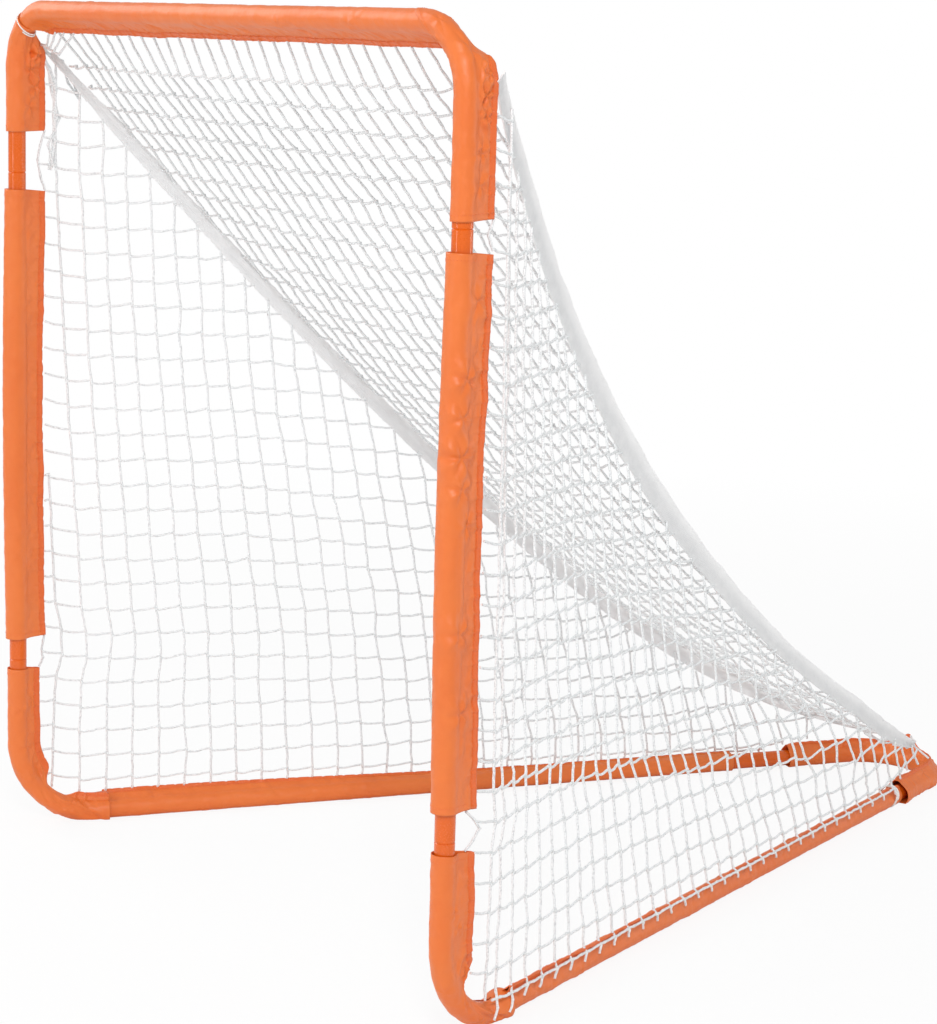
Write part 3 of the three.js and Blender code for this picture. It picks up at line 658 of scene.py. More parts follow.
@dataclass(frozen=True)
class TubePaint:
    """Glossy orange powder coat."""

    dark: Colour = from_srgb(0.86, 0.36, 0.05)
    light: Colour = from_srgb(0.9, 0.41, 0.08)
    rough_low: float = 0.22
    rough_high: float = 0.32

    def make(self, effects: EffectLibrary) -> Material:
        """Builds the material."""
        builder = MaterialBuilder("tube_powder_coat", Coat_Weight=0.5, Coat_Roughness=0.07, Specular_IOR_Level=0.3)
        tone = builder.group(effects.tone, Slow_scale=5.0, Fine_scale=500.0)["Mask"]
        peel = builder.group(effects.tone, Slow_scale=700.0, Fine_scale=1600.0)["Mask"]
        builder.set(
            Base_Color=builder.mix(tone, self.dark, self.light),
            Roughness=builder.range(tone, self.rough_low, self.rough_high),
            Normal=builder.bump(peel, 0.0003, 0.12),
        )
        return builder.material


@dataclass(frozen=True)
class PlaitedCord:
    """White plaited cord of a knotless net, with painted shade in the gaps between its strands."""

    name: str = "net_cord"
    # The dark colour is painted shade for the gaps between the strands.
    dark: Colour = from_srgb(0.835, 0.845, 0.85)
    light: Colour = from_srgb(0.95, 0.958, 0.96)
    strands: float = 520.0

    def make(self, effects: EffectLibrary) -> Material:
        """Builds the material."""
        builder = MaterialBuilder(self.name, Specular_IOR_Level=0.2)
        braid = builder.group(effects.braid, Strands_per_metre=self.strands)
        builder.set(
            # Painted shade: the colour turns dark in the gaps between the strands.
            Base_Color=builder.mix(braid["Mask"], self.light, self.dark),
            Normal=builder.bump(braid["Height"], 0.0004, 0.4),
            Roughness=builder.range(braid["Mask"], 0.75, 0.95),
        )
        return builder.material


@dataclass(frozen=True)
class SeamWebbing:
    """Pale webbing with fine ribs: greyer along its lower edge, with a painted highlight that washes it out to near
    white towards its upper edge.
    """

    name: str = "seam_webbing"
    dark: Colour = from_srgb(0.86, 0.865, 0.87)
    light: Colour = from_srgb(0.97, 0.97, 0.97)
    # The pale colour is a painted highlight that the band fades into towards its upper edge.
    pale: Colour = from_srgb(0.99, 0.99, 0.99)
    width: float = 0.028
    ribs: float = 700.0

    def make(self, effects: EffectLibrary) -> Material:
        """Builds the material."""
        builder = MaterialBuilder(self.name, Specular_IOR_Level=0.2)
        tone = builder.group(effects.tone, Slow_scale=60.0, Fine_scale=320.0)["Mask"]
        place = builder.add("UVMap", uv_map="cloth").outputs["UV"]
        across = builder.add("SeparateXYZ", {0: place}).outputs["Y"]
        # Painted highlight: the colour is washed out to pale towards the band's upper edge.
        painted_glare = builder.add(
            "MapRange", {"Value": across, "From Min": self.width * 0.35, "From Max": self.width},
            interpolation_type="SMOOTHSTEP",
        )
        weave = builder.group(effects.weave, Threads_per_metre=self.ribs)["Height"]
        builder.set(
            Base_Color=builder.mix(painted_glare.outputs["Result"], builder.mix(tone, self.dark, self.light), self.pale),
            Normal=builder.bump(weave, 0.0006, 0.7),
            Roughness=builder.range(tone, 0.8, 0.95),
        )
        return builder.material


@dataclass(frozen=True)
class SewingThread:
    """Orange thread, a little paler than the cloth."""

    dark: Colour = from_srgb(0.86, 0.36, 0.14)
    light: Colour = from_srgb(0.98, 0.55, 0.3)

    def make(self, effects: EffectLibrary) -> Material:
        """Builds the material."""
        builder = MaterialBuilder("sewing_thread", Roughness=0.55)
        tone = builder.group(effects.tone, Slow_scale=30.0, Fine_scale=900.0)["Mask"]
        builder.set(Base_Color=builder.mix(tone, self.dark, self.light), Normal=builder.bump(tone, 0.0003, 0.4))
        return builder.material


class Finishes:
    """Every material of the goal, built once."""

    def __init__(self) -> None:
        """Builds the shared effects and the materials."""
        effects = EffectLibrary()
        self.cloth = SleeveCloth().make(effects)
        self.paint = TubePaint().make(effects)
        self.net = PlaitedCord().make(effects)
        # The tie cord's dark colour is also painted shade between its strands.
        self.cord = PlaitedCord("tie_cord", from_srgb(0.86, 0.86, 0.85), from_srgb(0.97, 0.97, 0.96)).make(effects)
        # The far band's copy of the webbing is painted lighter to make up for the shade it lies in.
        far = SeamWebbing("far_seam_webbing", from_srgb(0.93, 0.935, 0.94), from_srgb(0.99, 0.99, 0.99))
        self.webbing = {Side.LEFT: far.make(effects), Side.RIGHT: SeamWebbing().make(effects)}
        self.thread = SewingThread().make(effects)


# Making and placing pieces


def show(name: str, data: bpy.types.ID) -> Object:
    """Makes an object in the scene."""
    made = bpy.data.objects.new(name, data)
    bpy.context.scene.collection.objects.link(made)
    return made


def piece(name: str, mesh: BMesh, material: Material) -> Object:
    """Turns a bmesh, which is freed, into a smooth object in the scene."""
    data = bpy.data.meshes.new(name)
    mesh.to_mesh(data)
    mesh.free()
    data.shade_smooth()
    data.materials.append(material)
    return show(name, data)


def cloth_grid(columns: int, rows: int, length: float, width: float) -> BMesh:
    """Makes a flat grid of cloth, one across, with its true size in its own map.

    Args:
        columns: Faces along it.
        rows: Faces across it.
        length: The cloth's length.
        width: The cloth's width.

    Returns:
        The grid.
    """
    mesh = bmesh.new()
    layer = mesh.loops.layers.uv.new("cloth")
    bmesh.ops.create_grid(mesh, x_segments=columns, y_segments=rows, size=0.5)
    for face in mesh.faces:
        for loop in face.loops:
            flat = loop.vert.co
            loop[layer].uv = ((flat.x + 0.5) * length, (flat.y + 0.5) * width)
    return mesh


def thicken(target: Object, thickness: float, offset: float = -1.0) -> None:
    """Gives a shell its wall, inwards unless the offset says otherwise, and applies it."""
    solid = target.modifiers.new("wall", "SOLIDIFY")
    solid.thickness, solid.offset, solid.use_rim = thickness, offset, True
    made = bpy.data.meshes.new_from_object(target.evaluated_get(bpy.context.evaluated_depsgraph_get()))
    target.modifiers.clear()
    target.data = made


def fix(made: Object, body: Body, node: str = "") -> None:
    """Fixes a piece to its body.

    Args:
        made: The piece.
        body: The body that it rides on.
        node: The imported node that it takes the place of, if any.
    """
    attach(made, body.value)
    if node:
        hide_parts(node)
    LOG.info("%s rides on %s", made.name, body.value)


def hang(made: Object, post: Body, node: str = "") -> None:
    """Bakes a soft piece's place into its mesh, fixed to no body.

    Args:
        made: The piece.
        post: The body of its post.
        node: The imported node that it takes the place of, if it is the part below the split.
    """
    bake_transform(made)
    if node:
        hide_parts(node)
    LOG.info("%s hangs from %s", made.name, post.value)


@dataclass
class Assembly:
    """What the goal's groups of pieces are made from."""

    plan: GoalPlan
    routes: Routes
    finishes: Finishes


@dataclass
class CordRun:
    """One cord: its points, and its thickness over the usual at each."""

    points: list[Vector]
    swells: list[float]


def cord_curve(name: str, cords: Sequence[CordRun], radius: float, rings: int, material: Material) -> Object:
    """Draws round cords with closed ends as one curve.

    Args:
        name: The object's name.
        cords: The cords.
        radius: Their usual radius.
        rings: How finely they are rounded.
        material: Their finish.

    Returns:
        The curve's object.
    """
    curve = bpy.data.curves.new(name, "CURVE")
    curve.dimensions, curve.use_fill_caps = "3D", True
    curve.bevel_depth, curve.bevel_resolution = radius, rings
    curve.materials.append(material)
    for cord in cords:
        spline = curve.splines.new("POLY")
        spline.points.add(len(cord.points) - 1)
        for target, point, swell in zip(spline.points, cord.points, cord.swells):
            target.co, target.radius = (*point, 1.0), swell
        spline.use_smooth = True
    return show(name, curve)


# Tubes


@dataclass
class TubeFrame(Assembly):
    """The ten tubes of the frame, extruded and spun from their round section."""

    segments: int = 40
    bend_steps: int = 24

    @staticmethod
    def _edges_of(verts: Iterable[BMVert]) -> list[BMEdge]:
        """The edges whose two ends are both in a ring."""
        ring = set(verts)
        return list(dict.fromkeys(edge for vert in verts for edge in vert.link_edges if edge.other_vert(vert) in ring))

    def _run(self, mesh: BMesh, ring: list[BMVert], route: Route, steps: Profile, way: Vector) -> list[BMVert]:
        """Extrudes a ring along a straight run.

        Args:
            mesh: The mesh.
            ring: The ring's vertices.
            route: The tube's route.
            steps: The distances along the route, each with the tube's radius there.
            way: The way the run goes.

        Returns:
            The last ring's vertices.
        """
        for before, after in zip(steps, steps[1:]):
            centre = route.at(before[0]).point
            made = bmesh.ops.extrude_edge_only(mesh, edges=self._edges_of(ring))
            ring = [item for item in made["geom"] if isinstance(item, BMVert)]
            bmesh.ops.scale(mesh, verts=ring, vec=(after[1] / before[1],) * 3, space=Matrix.Translation(-centre))
            bmesh.ops.translate(mesh, verts=ring, vec=way * (after[0] - before[0]))
        return ring

    def _add(self, node: str, route: Route, spigots: bool, body: Body) -> None:
        """Draws a tube with rounded lips in the place of its node.

        Args:
            node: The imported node.
            route: The tube's route, from tip to tip.
            spigots: Whether its ends are drawn down to slip into their neighbours.
            body: The body that it rides on.
        """
        plan = self.plan
        lip, full = plan.wall * 0.9, plan.tube_radius
        if spigots:
            small, drawn = plan.spigot_radius, plan.spigot_length
            steps = [(0.0, small - lip), (lip, small), (drawn - lip, small), (drawn, full - lip), (drawn + lip, full)]
        else:
            steps = [(0.0, full - lip), (lip, full)]
        mesh = bmesh.new()
        first = route.at(0.0)
        turn = first.along.to_track_quat("Z", "Y").to_matrix().to_4x4()
        place = Matrix.Translation(first.point) @ turn
        ring = bmesh.ops.create_circle(mesh, segments=self.segments, radius=steps[0][1], matrix=place)["verts"]
        tail = steps[-1][0]
        ring = self._run(mesh, ring, route, [*steps, (route.first, full)], route.before)
        if route.arc:
            spun = bmesh.ops.spin(
                mesh, geom=ring + self._edges_of(ring), cent=route.bend_centre, axis=route.before.cross(route.inner),
                angle=route.turn, steps=self.bend_steps,
            )
            ring = [item for item in spun["geom_last"] if isinstance(item, BMVert)]
            bend_end = route.first + route.arc
            ring = self._run(mesh, ring, route, [(bend_end, full), (bend_end + route.last - tail, full)], route.after)
        else:
            bmesh.ops.translate(mesh, verts=ring, vec=route.after * -tail)
        backwards = [(route.length - distance, radius) for distance, radius in reversed(steps)]
        self._run(mesh, ring, route, backwards, route.after)
        bmesh.ops.recalc_face_normals(mesh, faces=mesh.faces)
        made = piece(f"{node}_drawn", mesh, self.finishes.paint)
        thicken(made, plan.wall)
        made.data.set_sharp_from_angle(angle=radians(30.0))
        fix(made, body, node)

    def build(self) -> None:
        """Draws every tube."""
        self._add("crossbar_tube", self.routes.crossbar(), False, Body.TOP_ARCH)
        self._add("rear_apex_tube", self.routes.rear(), True, Body.BASE)
        for side in Side:
            self._add(f"top_{side.hand}_elbow", self.routes.top_elbow(side), True, Body.TOP_ARCH)
            self._add(f"{side.hand}_post_tube", self.routes.post(side), False, side.post)
            self._add(f"{side.hand}_base_elbow", self.routes.base_elbow(side), True, Body.BASE)
            self._add(f"{side.hand}_base_rail", self.routes.rail(side), False, Body.BASE)


# Sleeves


class Ripple:
    """Smooth seeded waves through space, mostly between -1 and 1."""

    def __init__(self, seed: int, size: float, waves: int = 9):
        """Draws a number of waves, mostly of one length, from a seed of their own."""
        chooser = np.random.default_rng(seed)
        turns = chooser.normal(size=(waves, 3))
        turns /= np.linalg.norm(turns, axis=1, keepdims=True)
        self.turns = turns * (2 * pi / size) * chooser.uniform(0.6, 1.5, (waves, 1))
        self.starts = chooser.uniform(0.0, 2 * pi, waves)

    def at(self, places: Array) -> Array:
        """The waves' height at each place."""
        return np.sin(places @ self.turns.T + self.starts).sum(axis=1) / sqrt(len(self.starts))


@dataclass(frozen=True)
class Dent:
    """A star of sharp folds that run out from one point of the cloth."""

    along: float
    around: float
    size: float
    depth: float
    turn: float
    folds: int

    def height(self, along: Array, around: Array) -> Array:
        """How far the cloth stands out there.

        Args:
            along: Distances along the sleeve.
            around: Distances round it from the flap's edge.

        Returns:
            The heights.
        """
        x, y = along - self.along, around - self.around
        reach = np.minimum(np.hypot(x, y) / self.size, 1.0)
        turns = (np.arctan2(y, x) + self.turn) * self.folds / (2 * pi)
        wave = np.abs((turns % 1.0) - 0.5) * 2.0
        return self.depth * 7.0 * reach * (1.0 - reach) ** 2 * wave


@dataclass(frozen=True)
class Fold:
    """One long fold between two places of the cloth."""

    start: tuple[float, float]
    end: tuple[float, float]
    width: float
    depth: float

    def height(self, along: Array, around: Array) -> Array:
        """How far the cloth stands out there.

        Args:
            along: Distances along the sleeve.
            around: Distances round it from the flap's edge.

        Returns:
            The heights.
        """
        (ax, ay), (bx, by) = self.start, self.end
        run = (bx - ax) ** 2 + (by - ay) ** 2
        share = np.clip(((along - ax) * (bx - ax) + (around - ay) * (by - ay)) / run, 0.0, 1.0)
        away = np.hypot(along - lerp(ax, bx, share), around - lerp(ay, by, share))
        return self.depth * np.exp(-((away / self.width) ** 2)) * np.sin(pi * lerp(0.12, 0.88, share))


@dataclass(frozen=True)
class Section:
    """The outline of a sleeve across its tube: round, with a sewn flap.

    A share of 0 or 1 is the flap's edge and one half is the tube's far side.
    """

    radius: float
    reach: float
    seam: float
    loose: float = 0.0
    aside: float = 0.0
    pinch: float = 0.0024
    root_half: float = 0.0026
    edge_half: float = 0.0012

    @property
    def round_radius(self) -> float:
        """Radius of the round part."""
        return self.radius + self.loose

    def corners(self) -> list[tuple[float, float]]:
        """Outline points on one side, from the flap's edge to the tube's far side, as (across, out)."""
        root = (self.root_half, self.reach - self.seam)
        rise = root[1] + self.loose
        touch = atan2(root[0], rise) + acos(min(self.round_radius / hypot(root[0], rise), 1.0))
        side, arc = 16, 24
        points = [(0.0, self.reach), (self.edge_half, self.reach - self.edge_half), root]
        meet = (self.round_radius * sin(touch), self.round_radius * cos(touch) - self.loose)
        for step in range(1, side):
            share = step / side
            dip = self.pinch * sin(pi * share)
            points.append((lerp(root[0], meet[0], share) - dip, lerp(root[1], meet[1], share)))
        for step in range(arc + 1):
            angle = lerp(touch, pi, step / arc)
            across, out = self.round_radius * sin(angle), self.round_radius * cos(angle)
            points.append((across, out - self.loose))
        return points

    def table(self) -> tuple[Array, Array, Array]:
        """Shares of the way round, and the outline's across and out there."""
        half = self.corners()
        points = np.array(half + [(-x, y) for x, y in reversed(half[:-1])])
        lengths = np.concatenate([[0.0], np.cumsum(np.hypot(*np.diff(points, axis=0).T))])
        return lengths / lengths[-1], points[:, 0], points[:, 1]

    @property
    def girth(self) -> float:
        """Length all the way round."""
        half = self.corners()
        return 2 * sum(dist(a, b) for a, b in zip(half, half[1:]))


@dataclass
class Hem:
    """How one end of a sleeve is cut and hangs."""

    droop: float = 0.0
    slant: float = 0.0
    lap: float = 0.0
    lap_length: float = 0.02

    def trim(self, shares: Array) -> Array:
        """How much shorter the cloth is at each share of the way round."""
        edge = np.abs(2.0 * shares - 1.0) ** 2
        return self.droop * edge + self.slant * (1.0 + np.sin(2 * pi * shares)) / 2

    def swell(self, from_hem: Array) -> Array:
        """How far the cloth stands off at each distance from the hem."""
        return self.lap * smooth(1.0 - vramp(from_hem, 0.0, self.lap_length))


@dataclass
class Sleeve:
    """One sewn sleeve on its route."""

    node: str
    body: Body
    route: Route
    start: float
    end: float
    section: Section
    flap_at: Course
    seed: int
    open_at: Course = np.ones_like
    head: Hem = field(default_factory=Hem)
    foot: Hem = field(default_factory=Hem)
    bow: Vector = field(default_factory=Vector)
    reach_at: Course | None = None
    narrow_at: Course | None = None
    dents_per_metre: float = 34.0
    dent_depth: float = 0.0032
    dent_size: float = 0.023
    folds: tuple[Fold, ...] = ()
    wave: float = 0.0022
    pucker: float = 0.0019
    pucker_pitch: float = 0.0195
    step: float = 0.002
    around: int = 84
    slit: tuple[float, float, float] | None = None
    hem: float = 0.01
    cloth: float = 0.0007
    tube_radius: float = 0.0125

    def __post_init__(self) -> None:
        """Works out the outline, the waves and the dents once."""
        self._shares, self._across, self._out = self.section.table()
        self.girth = self.section.girth
        self.length = self.end - self.start
        self._long = Ripple(self.seed, 0.075)
        self._short = Ripple(self.seed + 1, 0.021)
        self._fine = Ripple(self.seed + 2, 0.0075)
        self._creases = list(self.folds) + self._scatter()

    def _scatter(self) -> list[Dent]:
        """Scatters the dents over both faces, mostly where the flap meets the tube."""
        chooser = np.random.default_rng(self.seed + 3)
        dents = []
        for _ in range(int(self.length * self.dents_per_metre)):
            size = self.dent_size * chooser.uniform(0.55, 1.25)
            from_edge = chooser.uniform(self.section.seam + 0.003, self.girth * 0.44)
            around = from_edge if chooser.random() < 0.5 else self.girth - from_edge
            along = self.start + chooser.uniform(0.0, self.length)
            depth = self.dent_depth * chooser.uniform(0.35, 1.1)
            dents.append(Dent(along, around, size, depth, chooser.uniform(0.0, 6.3), int(chooser.integers(3, 6))))
        return dents

    def _crumple(self, along: Array, around: Array) -> Array:
        """The height of every dent, fold and wave there."""
        total = np.zeros_like(along)
        for crease in self._creases:
            total += crease.height(along, around)
        flat = np.stack([along, around, np.zeros_like(along)], axis=1)
        return total + 0.00045 * self._short.at(flat) + 0.00016 * self._fine.at(flat)

    def surface(self, shares_along: Array, shares: Array, lift: float = 0.0) -> Array:
        """Points of the cloth.

        Args:
            shares_along: Shares of the way from the first hem to the last.
            shares: Shares of the way round, from the flap's edge.
            lift: Distance out from the cloth.

        Returns:
            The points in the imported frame, one in each row.
        """
        first = self.start + self.head.trim(shares)
        last = self.end - self.foot.trim(shares)
        along = lerp(first, last, shares_along)
        points, ways = self.route.lay(along)
        flap = self.flap_at(along)
        flap = flap - ways * (flap * ways).sum(axis=1, keepdims=True)
        flap /= np.linalg.norm(flap, axis=1, keepdims=True)
        across = np.cross(ways, flap)
        section = self.section
        opened = smooth(self.open_at(along))
        u_sewn = np.interp(shares, self._shares, self._across)
        v_sewn = np.interp(shares, self._shares, self._out)
        if self.reach_at is not None:
            root = section.radius
            stretch = (self.reach_at(along) - root) / (section.reach - root)
            v_sewn = np.where(v_sewn > root, root + (v_sewn - root) * stretch, v_sewn)
        turn = 2 * pi * shares
        u = lerp(section.round_radius * np.sin(turn), u_sewn, opened)
        v = lerp(section.round_radius * np.cos(turn) - section.loose, v_sewn, opened)
        reach = self.reach_at(along) if self.reach_at is not None else section.reach
        root_v = reach - section.seam
        flat_part = smooth(vramp(v, section.radius * 0.3, section.radius * 1.3)) * opened
        band = vramp(v, root_v - 0.002, root_v + 0.001) * opened
        near_band = vramp(v, root_v - 0.018, root_v) * opened
        side = np.where(shares < 0.5, 1.0, -1.0)
        size = np.hypot(u, v) + 1e-9
        out_u = lerp(u / size, side, flat_part)
        out_v = lerp(v / size, 0.0, flat_part)
        height = self._crumple(along, shares * self.girth) * lerp(0.55, 1.0, flat_part) * (1.0 - 0.85 * band)
        from_head, from_foot = along - first, last - along
        edge = np.minimum(from_head, from_foot)
        height *= lerp(0.35, 1.0, smooth(vramp(edge, 0.0, self.hem * 2.0)))
        phase = along / self.pucker_pitch + 0.18 * self._long.at(points)
        crest = np.abs((phase % 1.0) - 0.5) * 2.0
        ridge = vramp(crest, 0.7, 0.98) * lerp(0.6, 1.0, (np.floor(phase) % 2.0))
        height += self.pucker * ridge * (band + 0.8 * near_band * (1.0 - band))
        height += 0.0004 * (1.0 - vramp(edge, self.hem, self.hem + 0.0015))
        height -= 0.0016 * np.exp(-(((v - root_v) / 0.0012) ** 2)) * opened
        height += self.head.swell(from_head) + self.foot.swell(from_foot)
        wave = self.wave * (self._long.at(points * 0.8) * flat_part + 0.35 * self._short.at(points) * near_band)
        u = u + out_u * (height + lift) + wave * flat_part + section.aside * (1.0 - flat_part)
        v = v + out_v * (height + lift) - 0.0012 * ridge * vramp(v, reach - 0.005, reach) * opened
        if self.narrow_at is not None:
            squeeze = self.narrow_at(along)[:, None]
            u, v = u * squeeze[:, 0], np.where(v > 0.0, v * squeeze[:, 0], v)
        u = np.where(side * u < 0.0007, side * 0.0007 * np.minimum(1.0, np.abs(np.sin(turn)) * 9.0), u)
        middle = np.sin(pi * np.clip((along - self.start) / self.length, 0.0, 1.0))[:, None]
        bow = np.array(self.bow)[None, :] * middle
        u, v = u + (across * bow).sum(axis=1), v + (flap * bow).sum(axis=1)
        around_tube = np.hypot(u, v)
        least = self.tube_radius + self.cloth + 0.0004
        push = np.where(around_tube < least, least / (around_tube + 1e-9), 1.0)
        u, v = u * push, v * push
        made = points + across * u[:, None] + flap * v[:, None]
        made[:, 2] = np.maximum(made[:, 2], 0.0004)
        return made

    def build(self, material: Material) -> Object:
        """Rolls a flat grid of cloth into the sleeve and gives it its wall."""
        mesh = cloth_grid(max(int(self.length / self.step), 12), self.around, self.length, self.girth)
        bound = mesh.verts.layers.float.new("binding")
        if self.slit is not None:
            first, last, half = self.slit
            open_faces = []
            for face in mesh.faces:
                middle = face.calc_center_median()
                along = self.start + (middle.x + 0.5) * self.length
                wide = half * sin(pi * ramp(along, first, last))
                if first < along < last and 0.5 - abs(middle.y) < wide:
                    open_faces.append(face)
            bmesh.ops.delete(mesh, geom=open_faces, context="FACES")
        flat_places = np.array([vert.co[:2] for vert in mesh.verts]) + 0.5
        places = self.surface(flat_places[:, 0], flat_places[:, 1] % 0.9999999)
        opened = self.open_at(self.start + flat_places[:, 0] * self.length)
        from_edge = (0.5 - np.abs(flat_places[:, 1] - 0.5)) * self.girth
        binding = vramp(from_edge, self.section.seam + 0.0008, self.section.seam - 0.0008) * opened
        for vert, place, mark in zip(mesh.verts, places, binding):
            vert.co, vert[bound] = place, float(mark)
        bmesh.ops.remove_doubles(mesh, verts=mesh.verts, dist=2e-5)
        bmesh.ops.recalc_face_normals(mesh, faces=mesh.faces)
        made = piece(f"{self.node}_cloth", mesh, material)
        thicken(made, self.cloth)
        return made

    def stitches(self, material: Material) -> Object:
        """Sews two rows of stitches down each face of the flap and one round each hem."""
        half = self.section.corners()
        to_root = dist(half[0], half[1]) + dist(half[1], half[2])
        rows = [share * to_root / self.girth for share in (0.3, 0.86)]
        length, pitch = 0.0031, 0.0043
        first = np.arange(pitch, self.length - pitch, pitch)
        opened = self.open_at(self.start + first) > 0.5
        first = first[opened] / self.length
        starts, ends = [], []
        for row in rows:
            for share in (row, 1.0 - row):
                line = np.full_like(first, share)
                starts.append(np.stack([first, line], axis=1))
                ends.append(np.stack([first + length / self.length, line], axis=1))
        turn = pitch / self.girth
        round_places = np.arange(turn, 1.0 - turn, turn)
        for place in (self.hem * 0.8 / self.length, 1.0 - self.hem * 0.8 / self.length):
            line = np.full_like(round_places, place)
            starts.append(np.stack([line, round_places], axis=1))
            ends.append(np.stack([line, round_places + turn * 0.72], axis=1))
        a, b = np.concatenate(starts), np.concatenate(ends)
        tops = self.surface(a[:, 0], a[:, 1], 0.00012), self.surface(b[:, 0], b[:, 1], 0.00012)
        mesh = bmesh.new()
        for one, two in zip(*tops):
            begin, finish = Vector(one), Vector(two)
            along = finish - begin
            turned = along.to_track_quat("Z", "Y").to_matrix().to_4x4()
            shape = Matrix.Diagonal((0.00042, 0.00042, along.length / 2, 1.0))
            matrix = Matrix.Translation((begin + finish) / 2) @ turned @ shape
            bmesh.ops.create_icosphere(mesh, subdivisions=1, radius=1.0, matrix=matrix)
        return piece(f"{self.node}_stitches", mesh, material)


class SleeveSet(Assembly):
    """The ten sleeves, with their stitches."""

    @staticmethod
    def _steady(way: Vector) -> Course:
        """A flap that points one way all along."""
        return lambda along: np.tile(np.array(way), (len(along), 1))

    def _post_section(self, reach: float, loose: float) -> Section:
        """The section of the posts' and corners' sleeves."""
        return Section(self.plan.sleeve_radius, reach, 0.011, loose=loose)

    def post(self, side: Side) -> Sleeve:
        """A post's sleeve, which hangs loose towards the front."""
        plan = self.plan
        near = side is Side.RIGHT
        foot = plan.lower_joint + (0.0365 if near else 0.032)
        head = plan.upper_joint - (0.0265 if near else 0.024)
        x = side.value * plan.half
        route = Route(Vector((x, plan.post_depth, foot)), Vector((x, plan.post_depth, head)))
        section = self._post_section(plan.post_flap, 0.0021)
        stars = (
            Dent(0.513, 0.046, 0.034, 0.0088, 0.4, 4), Dent(0.47, 0.05, 0.028, 0.0074, 1.2, 4),
            Dent(0.424, 0.05, 0.04, 0.0104, 0.9, 5), Dent(0.386, 0.047, 0.032, 0.0086, 2.1, 4),
            Dent(0.344, 0.034, 0.03, 0.006, 0.2, 4), Dent(0.602, 0.028, 0.036, 0.0056, 1.7, 3),
            Dent(0.215, 0.045, 0.034, 0.0076, 0.7, 4), Dent(0.12, 0.04, 0.034, 0.0062, 2.4, 4),
        ) if near else ()
        stars = tuple(replace(star, around=section.girth - star.around) for star in stars)
        return Sleeve(
            f"{side.hand}_post_sleeve", side.post, route, 0.0, route.length, section, folds=stars,
            flap_at=self._steady(BACK), seed=31 + side.value,
            head=Hem(droop=-0.003 if near else 0.0), foot=Hem(droop=0.004), bow=Vector((-0.0022, -0.003, 0.0)),
            dents_per_metre=12.0, dent_depth=0.0018, dent_size=0.03,
        )

    def _right_top(self) -> Sleeve:
        """The right top corner's sleeve: its flap runs on into the bend, and it laps over the crossbar's."""
        plan = self.plan
        route = self.routes.top_elbow(Side.RIGHT)
        start = plan.spigot_length + 0.008
        lap = 0.01
        tail = plan.top_bend + plan.crossbar_leg - plan.crossbar_inset + plan.spigot_length
        bend = route.first
        section = self._post_section(plan.post_flap, 0.0004)
        line = ((0.036, 0.02), (0.024, 0.028), (0.008, 0.0335), (-0.01, 0.0325), (-0.026, 0.026), (-0.043, 0.013))
        folds = [
            Fold((bend + a[0], section.girth - a[1]), (bend + b[0], section.girth - b[1]), 0.0034, 0.0036)
            for a, b in zip(line, line[1:])
        ]
        for along, from_edge, size, depth in (
            (0.022, 0.017, 0.018, 0.005), (0.000, 0.02, 0.022, 0.0056), (-0.024, 0.018, 0.018, 0.0046),
            (-0.064, 0.026, 0.026, 0.004), (-0.1, 0.03, 0.03, 0.0036), (0.046, 0.04, 0.03, 0.0036),
            (0.09, 0.052, 0.03, 0.003),
        ):
            folds.append(Dent(bend + along, section.girth - from_edge, size, depth, along * 90.0, 4))
        return Sleeve(
            "top_right_corner_sleeve", Body.TOP_ARCH, route, start, route.length - tail + lap, section,
            flap_at=self._steady(BACK),
            open_at=lambda d: 1.0 - vramp(d, bend + 0.26 * route.arc, bend + 0.56 * route.arc),
            seed=41, folds=tuple(folds), dents_per_metre=40.0, dent_depth=0.0022, dent_size=0.019,
            foot=Hem(slant=0.043, lap=0.0003, lap_length=0.012), head=Hem(droop=0.002),
        )

    def _left_top(self) -> Sleeve:
        """The left top corner's sleeve, pinched by its tie half way round the bend."""
        plan = self.plan
        route = self.routes.top_elbow(Side.LEFT)
        start = plan.spigot_length + 0.058
        bend, arc = route.first, route.arc
        pinch = bend + plan.tie_share * arc
        section = self._post_section(plan.post_flap, 0.0008)
        root = pinch - 0.004
        folds = tuple(
            Fold((root, section.girth - low), (root - reach, section.girth - low - drift), 0.0036, depth)
            for low, reach, drift, depth in (
                (0.012, 0.04, 0.004, 0.008), (0.019, 0.05, 0.01, -0.0086), (0.026, 0.044, -0.006, 0.0074),
                (0.034, 0.06, 0.006, -0.007), (0.042, 0.048, -0.008, 0.006), (0.052, 0.036, 0.006, -0.004),
            )
        ) + tuple(
            Dent(pinch - below, section.girth - from_edge, size, depth, below * 80.0, 4)
            for below, from_edge, size, depth in (
                (0.046, 0.018, 0.026, 0.007), (0.068, 0.03, 0.026, 0.006), (0.094, 0.02, 0.028, 0.005),
                (0.12, 0.032, 0.028, 0.004),
            )
        )
        return Sleeve(
            "top_left_corner_sleeve", Body.TOP_ARCH, route, start, pinch + 0.012,
            section, folds=folds,
            narrow_at=lambda d: 1.0 - 0.07 * np.exp(-(((d - pinch) / 0.01) ** 2)),
            flap_at=self._steady(BACK),
            open_at=lambda d: 1.0 - vramp(d, bend + 0.1 * arc, pinch + 0.004),
            seed=45, dents_per_metre=70.0, dent_depth=0.003, dent_size=0.014,
            head=Hem(droop=0.001),
        )

